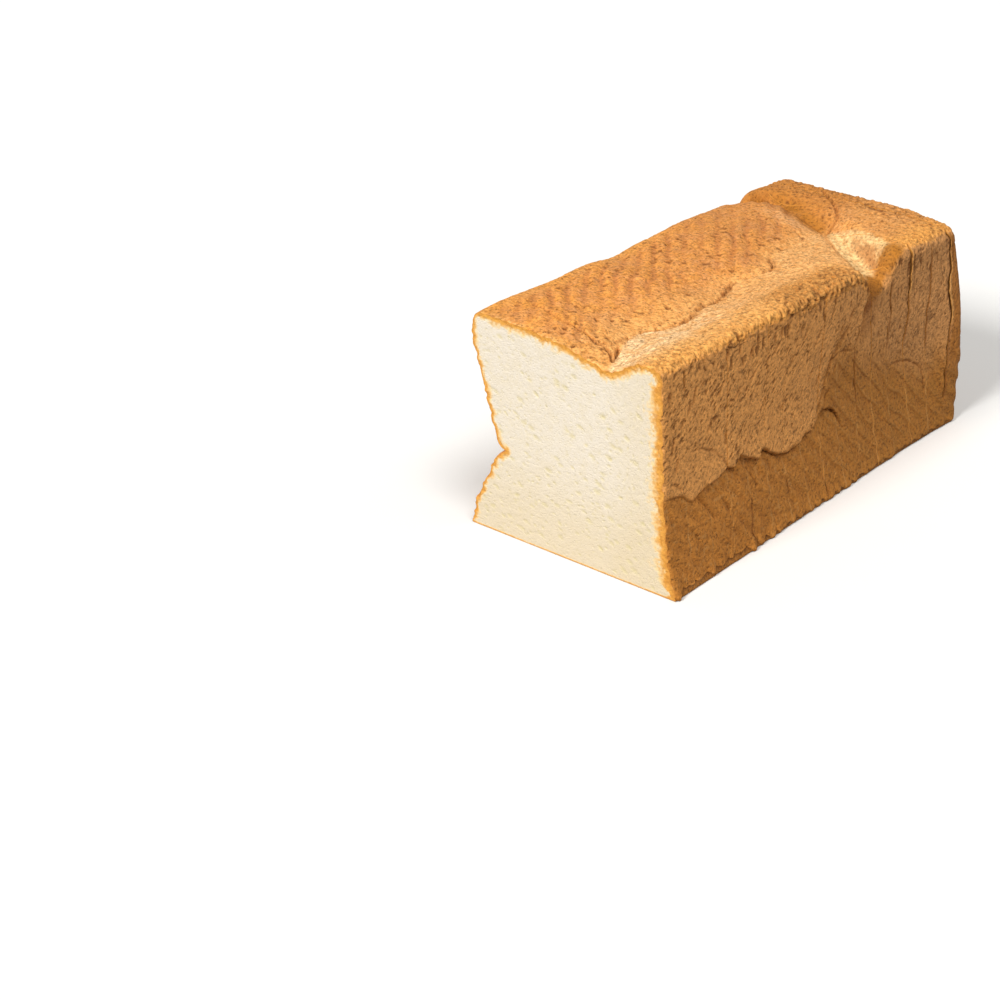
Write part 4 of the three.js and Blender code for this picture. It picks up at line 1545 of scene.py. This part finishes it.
# Baked end in words: a patch over the last ring, raised to a dome, with crust relief that takes over
# from the ring's own within a few millimetres
def closeWithHeel(body, ring, ringStart, edgeMasks):
    grid = patchOver(ring)
    inside = grid[1:-1, 1:-1].reshape(-1, 3)
    x, z = inside[:, 0], inside[:, 2]
    away, which = nearestOnRing(inside[:, [0, 2]], ring[:, [0, 2]])
    level = np.zeros(len(inside))
    relief, plan = crustSurface(x, loafLength + heel["grainShift"] + x, z, level, level - 1)
    toFace = smooth(0, heel["edgeReach"], away + 1.5 * noise(x / 4, z / 4, 0, 70))
    masks = {key: blend(edgeMasks[key][which], plan[key], toFace) for key in plan}
    inside[:, 1] += heel["dome"] * smooth(0, heel["domeReach"], away) + relief * smooth(0, 3, away)
    numbers = patchNumbers(ringStart, body.count)
    addPoints(body, inside, masks)
    addQuads(body, gridFaces(numbers), crustSlot, True)


# Hidden cut face in words: rings that shrink towards the middle, and a fan of triangles there
def closeWithRings(body, ring, ringStart, openShare, last):
    around = np.arange(outlineCount)
    following = (around + 1) % outlineCount
    centre = ring.mean(0)
    arm = ring - centre
    size = np.linalg.norm(arm, axis=1)[:, None]
    previous = ringStart
    for inset in ringCapInsets:
        shade = openShare * math.exp(-inset / faceSet["shadeReach"])
        inward = centre + arm * np.maximum(1 - inset / size, 0.02)
        start = addPoints(body, inward, {"rim": np.clip(1 - inset / rimWidths, 0, 1), "shade": shade})
        faces = np.stack([previous + around, previous + following, start + following, start + around], -1)
        addQuads(body, faces, crumbSlot, last)
        previous = start
    middle = addPoints(body, centre[None], {})
    fan = np.stack([previous + around, previous + following, np.full(outlineCount, middle)], -1)
    body.triangles.append(fan[:, ::-1] if last else fan)


# One slice in words: rings of crust from cut to cut, a patch or shrinking rings over each end
def makeSlice(index, materials):
    isHeel = index == block["slices"] - 1
    start = index * block["pitch"] + block["kerf"] / 2
    end = loafLength - heel["radius"] if isHeel else (index + 1) * block["pitch"] - block["kerf"] / 2
    between = ringSet["betweenHeel"] if isHeel else ringSet["between"]
    inner = np.linspace(start + ringSet["second"], end - ringSet["second"], between)
    places = np.concatenate([[start, start + ringSet["edge"]], inner, [end - ringSet["edge"], end]])
    outlinePlaces = places
    insets = np.zeros(len(places))
    if isHeel:
        angle = np.linspace(0, math.pi / 2, heel["roundingRings"] + 1)[1:]
        places = np.concatenate([places, end + heel["radius"] * np.sin(angle)])
        outlinePlaces = np.concatenate([outlinePlaces, np.full(len(angle), end)])
        insets = np.concatenate([insets, heel["radius"] * (1 - np.cos(angle))])
    cuts = []
    if index > 0:
        cuts.append((index, 0))
    if not isHeel:
        cuts.append((index + 1, -1))
    rings, masks, openShares = crustRings(index, places, outlinePlaces, insets, cuts)
    body = newBody()
    flat = {key: value.ravel() for key, value in masks.items()}
    addPoints(body, rings.reshape(-1, 3), {**flat, "rim": np.ones(len(rings) * outlineCount)})
    around = np.arange(outlineCount)
    following = (around + 1) % outlineCount
    rows = np.arange(len(rings) - 1)[:, None] * outlineCount
    near, far = rows + around, rows + following
    strip = np.stack([near, near + outlineCount, far + outlineCount, far], -1)
    addQuads(body, strip.reshape(-1, 4), crustSlot)
    if index == 0:
        closeWithFace(body, rings[0], 0)
    else:
        closeWithRings(body, rings[0], 0, openShares[0], False)
    lastStart = (len(rings) - 1) * outlineCount
    if isHeel:
        closeWithHeel(body, rings[-1], lastStart, {key: value[-1] for key, value in masks.items()})
    else:
        closeWithRings(body, rings[-1], lastStart, openShares[-1], True)
    piece = makePiece("breadSlice%02d" % (index + 1), body, materials)
    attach(piece, "root")
    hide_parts("slice_%02d" % (index + 1))


# Puts a value or a link into a socket; a colour gets its fourth number
def feed(tree, socket, value):
    if isinstance(value, bpy.types.NodeSocket):
        tree.links.new(value, socket)
    elif isinstance(value, tuple) and len(socket.default_value) == 4:
        socket.default_value = (*value, 1)
    else:
        socket.default_value = value


def addNode(tree, kind, settings=None, **inputs):
    node = tree.nodes.new(kind)
    for key, value in (settings or {}).items():
        setattr(node, key, value)
    for key, value in inputs.items():
        feed(tree, node.inputs[key.replace("_", " ")], value)
    return node


def mixColours(tree, share, first, second, mode="MIX"):
    node = tree.nodes.new("ShaderNodeMix")
    node.data_type = "RGBA"
    node.blend_type = mode
    for socket, value in zip((node.inputs[0], node.inputs[6], node.inputs[7]), (share, first, second)):
        feed(tree, socket, value)
    return node.outputs[2]


def calculate(tree, kind, first, second):
    node = tree.nodes.new("ShaderNodeMath")
    node.operation = kind
    feed(tree, node.inputs[0], first)
    feed(tree, node.inputs[1], second)
    return node.outputs[0]


def scaled(tree, value, amount):
    return calculate(tree, "MULTIPLY", value, amount)


def stretch(tree, value, fromLow, fromHigh, toLow=0.0, toHigh=1.0):
    node = tree.nodes.new("ShaderNodeMapRange")
    node.interpolation_type = "SMOOTHSTEP"
    for number, amount in enumerate((value, fromLow, fromHigh, toLow, toHigh)):
        feed(tree, node.inputs[number], amount)
    return node.outputs[0]


# Darkens or lightens a colour by a grey, to the share that is given
def shaded(tree, colour, value, share=1.0):
    grey = addNode(tree, "ShaderNodeCombineColor", Red=value, Green=value, Blue=value).outputs[0]
    return mixColours(tree, share, colour, grey, "MULTIPLY")


def mask(tree, name):
    return addNode(tree, "ShaderNodeAttribute", {"attribute_name": name}).outputs["Fac"]


# Lays a colour over another by a mask of the mesh
def laid(tree, colour, over, name, share=1.0):
    return mixColours(tree, scaled(tree, mask(tree, name), share), colour, over)


# Shader group with named inputs as (name, kind, value) and named outputs as (name, kind)
def newGroup(name, inputs, outputs):
    tree = bpy.data.node_groups.new(name, "ShaderNodeTree")
    for socketName, kind, value in inputs:
        socket = tree.interface.new_socket(socketName, in_out="INPUT", socket_type="NodeSocket" + kind)
        if value is not None:
            socket.default_value = value
    for socketName, kind in outputs:
        tree.interface.new_socket(socketName, in_out="OUTPUT", socket_type="NodeSocket" + kind)
    return tree, tree.nodes.new("NodeGroupInput").outputs, tree.nodes.new("NodeGroupOutput").inputs


def placeGroup(tree, group, **inputs):
    node = tree.nodes.new("ShaderNodeGroup")
    node.node_tree = group
    for key, value in inputs.items():
        feed(tree, node.inputs[key], value)
    return node.outputs


def newMaterial(name, roughness):
    material = bpy.data.materials.new(name)
    material.use_nodes = True
    tree = material.node_tree
    surface = tree.nodes["Principled BSDF"]
    surface.inputs["Roughness"].default_value = roughness
    surface.inputs["Specular IOR Level"].default_value = 0.3
    place = addNode(tree, "ShaderNodeTexCoord").outputs["Object"]
    return material, tree, surface, place


def addBump(tree, surface, height, strength, distance):
    relief = addNode(tree, "ShaderNodeBump", Strength=strength, Distance=distance, Height=height)
    tree.links.new(relief.outputs["Normal"], surface.inputs["Normal"])


# Fine grain: noise of several sizes and small round pores, as a height and as a shade
def makeFineGrain():
    inputs = [("Vector", "Vector", None), ("Scale", "Float", 1000.0), ("Pores", "Float", 0.5)]
    tree, given, out = newGroup("fineGrain", inputs, [("Height", "Float"), ("Shade", "Float")])
    vector, scale = given["Vector"], given["Scale"]
    soft = addNode(tree, "ShaderNodeTexNoise", Vector=vector, Scale=scale, Detail=4.0, Roughness=0.65)
    poreScale = scaled(tree, scale, 0.9)
    cells = addNode(tree, "ShaderNodeTexVoronoi", Vector=vector, Scale=poreScale, Randomness=1.0)
    pore = stretch(tree, cells.outputs["Distance"], 0.0, 0.45)
    hollow = scaled(tree, calculate(tree, "SUBTRACT", 1.0, pore), given["Pores"])
    height = calculate(tree, "SUBTRACT", soft.outputs["Fac"], hollow)
    shade = calculate(tree, "SUBTRACT", soft.outputs["Fac"], scaled(tree, hollow, 0.5))
    tree.links.new(height, out["Height"])
    tree.links.new(shade, out["Shade"])
    return tree


# Slanted pores: long thin noise that rises along the side, as a height and as a shade
def makeSlantGrain():
    inputs = [("Vector", "Vector", None), ("Long", "Float", 260.0), ("Across", "Float", 1050.0)]
    tree, given, out = newGroup("slantGrain", inputs, [("Height", "Float"), ("Shade", "Float")])
    slope = (math.radians(-sideSet["grainSlope"]), 0, 0)
    turned = addNode(tree, "ShaderNodeMapping", Vector=given["Vector"], Rotation=slope)
    sizes = addNode(tree, "ShaderNodeCombineXYZ", X=given["Across"], Y=given["Long"], Z=given["Across"])
    drawn = addNode(tree, "ShaderNodeVectorMath", {"operation": "MULTIPLY"})
    tree.links.new(turned.outputs[0], drawn.inputs[0])
    tree.links.new(sizes.outputs[0], drawn.inputs[1])
    vector = drawn.outputs[0]
    streaks = addNode(tree, "ShaderNodeTexNoise", Vector=vector, Scale=1.0, Detail=3.0, Roughness=0.6)
    cells = addNode(tree, "ShaderNodeTexVoronoi", Vector=vector, Scale=0.62, Randomness=1.0)
    pore = stretch(tree, cells.outputs["Distance"], 0.05, 0.42)
    height = calculate(tree, "ADD", streaks.outputs["Fac"], scaled(tree, pore, 0.55))
    tree.links.new(height, out["Height"])
    tree.links.new(stretch(tree, height, 0.55, 1.15), out["Shade"])
    return tree


# Mottle: large and middle patches that move a colour towards a darker one
def makeMottle():
    inputs = [
        ("Vector", "Vector", None), ("Colour", "Color", (1, 1, 1, 1)),
        ("Darker", "Color", (0.5, 0.5, 0.5, 1)), ("Amount", "Float", 0.5), ("Scale", "Float", 60.0),
    ]
    tree, given, out = newGroup("mottle", inputs, [("Colour", "Color")])
    vector, scale = given["Vector"], given["Scale"]
    broad = addNode(tree, "ShaderNodeTexNoise", Vector=vector, Scale=scale, Detail=5.0, Roughness=0.74)
    share = scaled(tree, stretch(tree, broad.outputs["Fac"], 0.38, 0.66), given["Amount"])
    tree.links.new(mixColours(tree, share, given["Colour"], given["Darker"]), out["Colour"])
    return tree


fineGrain = makeFineGrain()
slantGrain = makeSlantGrain()
mottle = makeMottle()


# Colour with mottling towards a darker one: how strong, and how many patches to a metre
def mottled(tree, place, colour, darker, amount, scale):
    values = {"Colour": colour, "Darker": darker, "Amount": amount, "Scale": scale}
    return placeGroup(tree, mottle, Vector=place, **values)["Colour"]


# Colours of the crust, as linear light, and the strength of those that are laid over the top
crustColours = {
    "plateau": (0.85, 0.355, 0.070),
    "plateauPink": (0.70, 0.31, 0.105),
    # plateauFar, sideFar and pressedFar, darker towards the heel, are painted falloff of the light
    "plateauFar": (0.48, 0.215, 0.074),
    "plateauDark": (0.46, 0.155, 0.022),
    # rib: painted shade in the troughs between the ribs
    "rib": (0.48, 0.18, 0.055),
    "roll": (0.84, 0.435, 0.143),
    "pale": (0.99, 0.69, 0.37),
    "golden": (0.80, 0.38, 0.085),
    "rough": (0.44, 0.20, 0.051),
    "saddle": (0.80, 0.56, 0.255),
    "amber": (0.36, 0.13, 0.009),
    "rear": (0.50, 0.19, 0.031),
    "side": (0.71, 0.324, 0.090),
    "sideDark": (0.46, 0.205, 0.058),
    "sideFar": (0.40, 0.19, 0.067),
    "pressed": (0.50, 0.198, 0.033),
    "pressedDark": (0.38, 0.14, 0.021),
    "pressedFar": (0.32, 0.135, 0.023),
    # dent: painted shade in pits, cracks, wrinkles and open cuts
    "dent": (0.22, 0.066, 0.009),
    "line": (0.60, 0.30, 0.09),
    # foot: partly painted contact shadow, partly the darker crust of the base
    "foot": (0.12, 0.042, 0.009),
}
topLayers = {
    # rib: painted shade in the rib troughs
    "rib": 0.75,
    "rear": 0.7,
    "roll": 0.85,
    "pale": 0.95,
    "saddle": 1.0,
    "golden": 0.8,
    "rough": 0.7,
}
crustFinish = {
    "roughness": 0.74,
    "fineScale": 620.0,
    "finePores": 0.4,
    "fineShade": (0.2, 0.62, 0.58, 1.26),  # from low and high to low and high
    "hollowShade": (0.0, 1.0, 1.06, 0.6),
    "slantLong": 240.0,
    "slantAcross": 900.0,
    "slantShade": (0.0, 0.8, 0.8, 1.06),
    "slantHeight": 0.45,
    "bump": 0.75,
    "bumpDistance": 0.001,
}


def makeCrust():
    colours, values = crustColours, crustFinish
    material, tree, surface, place = newMaterial("bakedCrust", values["roughness"])
    top = mottled(tree, place, colours["plateau"], colours["plateauPink"], 1.0, 70.0)
    # Darker towards the heel by the far mask: painted falloff of the light
    top = laid(tree, top, colours["plateauFar"], "far", 0.5)
    for name, share in topLayers.items():
        top = laid(tree, top, colours[name], name, share)
    top = mottled(tree, place, top, colours["plateauDark"], 0.6, 420.0)
    wall = mottled(tree, place, colours["side"], colours["sideDark"], 0.5, 110.0)
    wall = mottled(tree, place, wall, colours["sideDark"], 0.35, 500.0)
    # Side and pressed colours darker towards the heel: painted falloff of the light
    farther = calculate(tree, "POWER", mask(tree, "far"), 3.0)
    wall = mixColours(tree, scaled(tree, farther, 0.8), wall, colours["sideFar"])
    low = mottled(tree, place, colours["pressed"], colours["pressedDark"], 0.45, 60.0)
    low = laid(tree, low, colours["pressedFar"], "far", 0.85)
    low = mottled(tree, place, low, colours["pressedDark"], 0.6, 300.0)
    wall = mixColours(tree, mask(tree, "pressed"), wall, low)
    side = mask(tree, "side")
    colour = laid(tree, mixColours(tree, side, top, wall), colours["amber"], "amber", 0.9)
    fine = placeGroup(tree, fineGrain, Vector=place, Scale=values["fineScale"], Pores=values["finePores"])
    long = placeGroup(tree, slantGrain, Vector=place, Long=values["slantLong"], Across=values["slantAcross"])
    upper = scaled(tree, side, calculate(tree, "SUBTRACT", 1.0, mask(tree, "pressed")))
    colour = shaded(tree, colour, stretch(tree, fine["Shade"], *values["fineShade"]))
    # Painted shade in the hollows of the fine relief
    colour = shaded(tree, colour, stretch(tree, mask(tree, "hollow"), *values["hollowShade"]))
    colour = shaded(tree, colour, stretch(tree, long["Shade"], *values["slantShade"]), upper)
    # Painted shade in dents and gaps, then the pale lines, then the dark foot
    for name, share in (("dent", 0.8), ("line", 1.0), ("foot", 0.8)):
        colour = laid(tree, colour, colours[name], name, share)
    tree.links.new(colour, surface.inputs["Base Color"])
    slanted = scaled(tree, long["Height"], scaled(tree, upper, values["slantHeight"]))
    height = calculate(tree, "ADD", fine["Height"], slanted)
    addBump(tree, surface, height, values["bump"], values["bumpDistance"])
    return material


# Colours of a cut face, from the crumb out to the crust
crumbColours = {
    "crumb": (0.81, 0.735, 0.625),
    "cream": (0.79, 0.70, 0.55),
    "pore": (0.71, 0.61, 0.33),
    "warm": (0.75, 0.625, 0.43),
    "pale": (0.93, 0.69, 0.36),
    "gold": (0.82, 0.40, 0.075),
    "amber": (0.58, 0.23, 0.035),
    "shade": (0.10, 0.035, 0.008),
}
crumbFinish = {
    "roughness": 0.85,
    "fineScale": 1000.0,
    "finePores": 0.5,
    "fineShade": (0.15, 0.6, 0.95, 1.02),
    "palePart": (0.0, 0.55),  # shares of the rim, from the crumb outwards
    "goldPart": (0.25, 0.76),
    "amberPart": (0.8, 1.0, 0.0, 0.6),
    "bump": 0.6,
    "bumpDistance": 0.0005,
}


def makeCrumb():
    colours, values = crumbColours, crumbFinish
    material, tree, surface, place = newMaterial("whiteCrumb", values["roughness"])
    colour = mottled(tree, place, colours["crumb"], colours["cream"], 0.7, 160.0)
    colour = laid(tree, colour, colours["warm"], "warm", 0.85)
    colour = laid(tree, colour, colours["pore"], "pore", 0.75)
    fine = placeGroup(tree, fineGrain, Vector=place, Scale=values["fineScale"], Pores=values["finePores"])
    rim = mask(tree, "rim")
    gold = mottled(tree, place, colours["gold"], colours["amber"], 0.8, 420.0)
    for key, over in (("palePart", colours["pale"]), ("goldPart", gold), ("amberPart", colours["amber"])):
        colour = mixColours(tree, stretch(tree, rim, *values[key]), colour, over)
    colour = shaded(tree, colour, stretch(tree, fine["Shade"], *values["fineShade"]))
    colour = laid(tree, colour, colours["shade"], "shade")
    tree.links.new(colour, surface.inputs["Base Color"])
    addBump(tree, surface, fine["Height"], values["bump"], values["bumpDistance"])
    return material


crust = makeCrust()
crumb = makeCrumb()
print("stage: materials")

for index in range(block["slices"]):
    makeSlice(index, [crust, crumb])
print("stage: slices")

# Floor: a wide pale sheet just under the loaf, with a warmer colour in the light that it throws back
floorSet = {
    "half": 6.0,
    "height": -0.0003,
    "roughness": 0.9,
    "colour": (0.93, 0.93, 0.925),
    "darker": (0.91, 0.91, 0.905),
    "bounce": (0.42, 0.40, 0.37),
}


def makeFloor(values):
    half, height = values["half"], values["height"]
    corners = [(-half, -half, height), (half, -half, height), (half, half, height), (-half, half, height)]
    mesh = bpy.data.meshes.new("floor")
    mesh.from_pydata(corners, [], [(0, 1, 2, 3)])
    floor = bpy.data.objects.new("floor", mesh)
    bpy.context.scene.collection.objects.link(floor)
    material, tree, surface, place = newMaterial("paleTable", values["roughness"])
    colour = mottled(tree, place, values["colour"], values["darker"], 0.5, 2.0)
    seen = addNode(tree, "ShaderNodeLightPath").outputs["Is Camera Ray"]
    colour = mixColours(tree, seen, values["bounce"], colour)
    tree.links.new(colour, surface.inputs["Base Color"])
    mesh.materials.append(material)


makeFloor(floorSet)
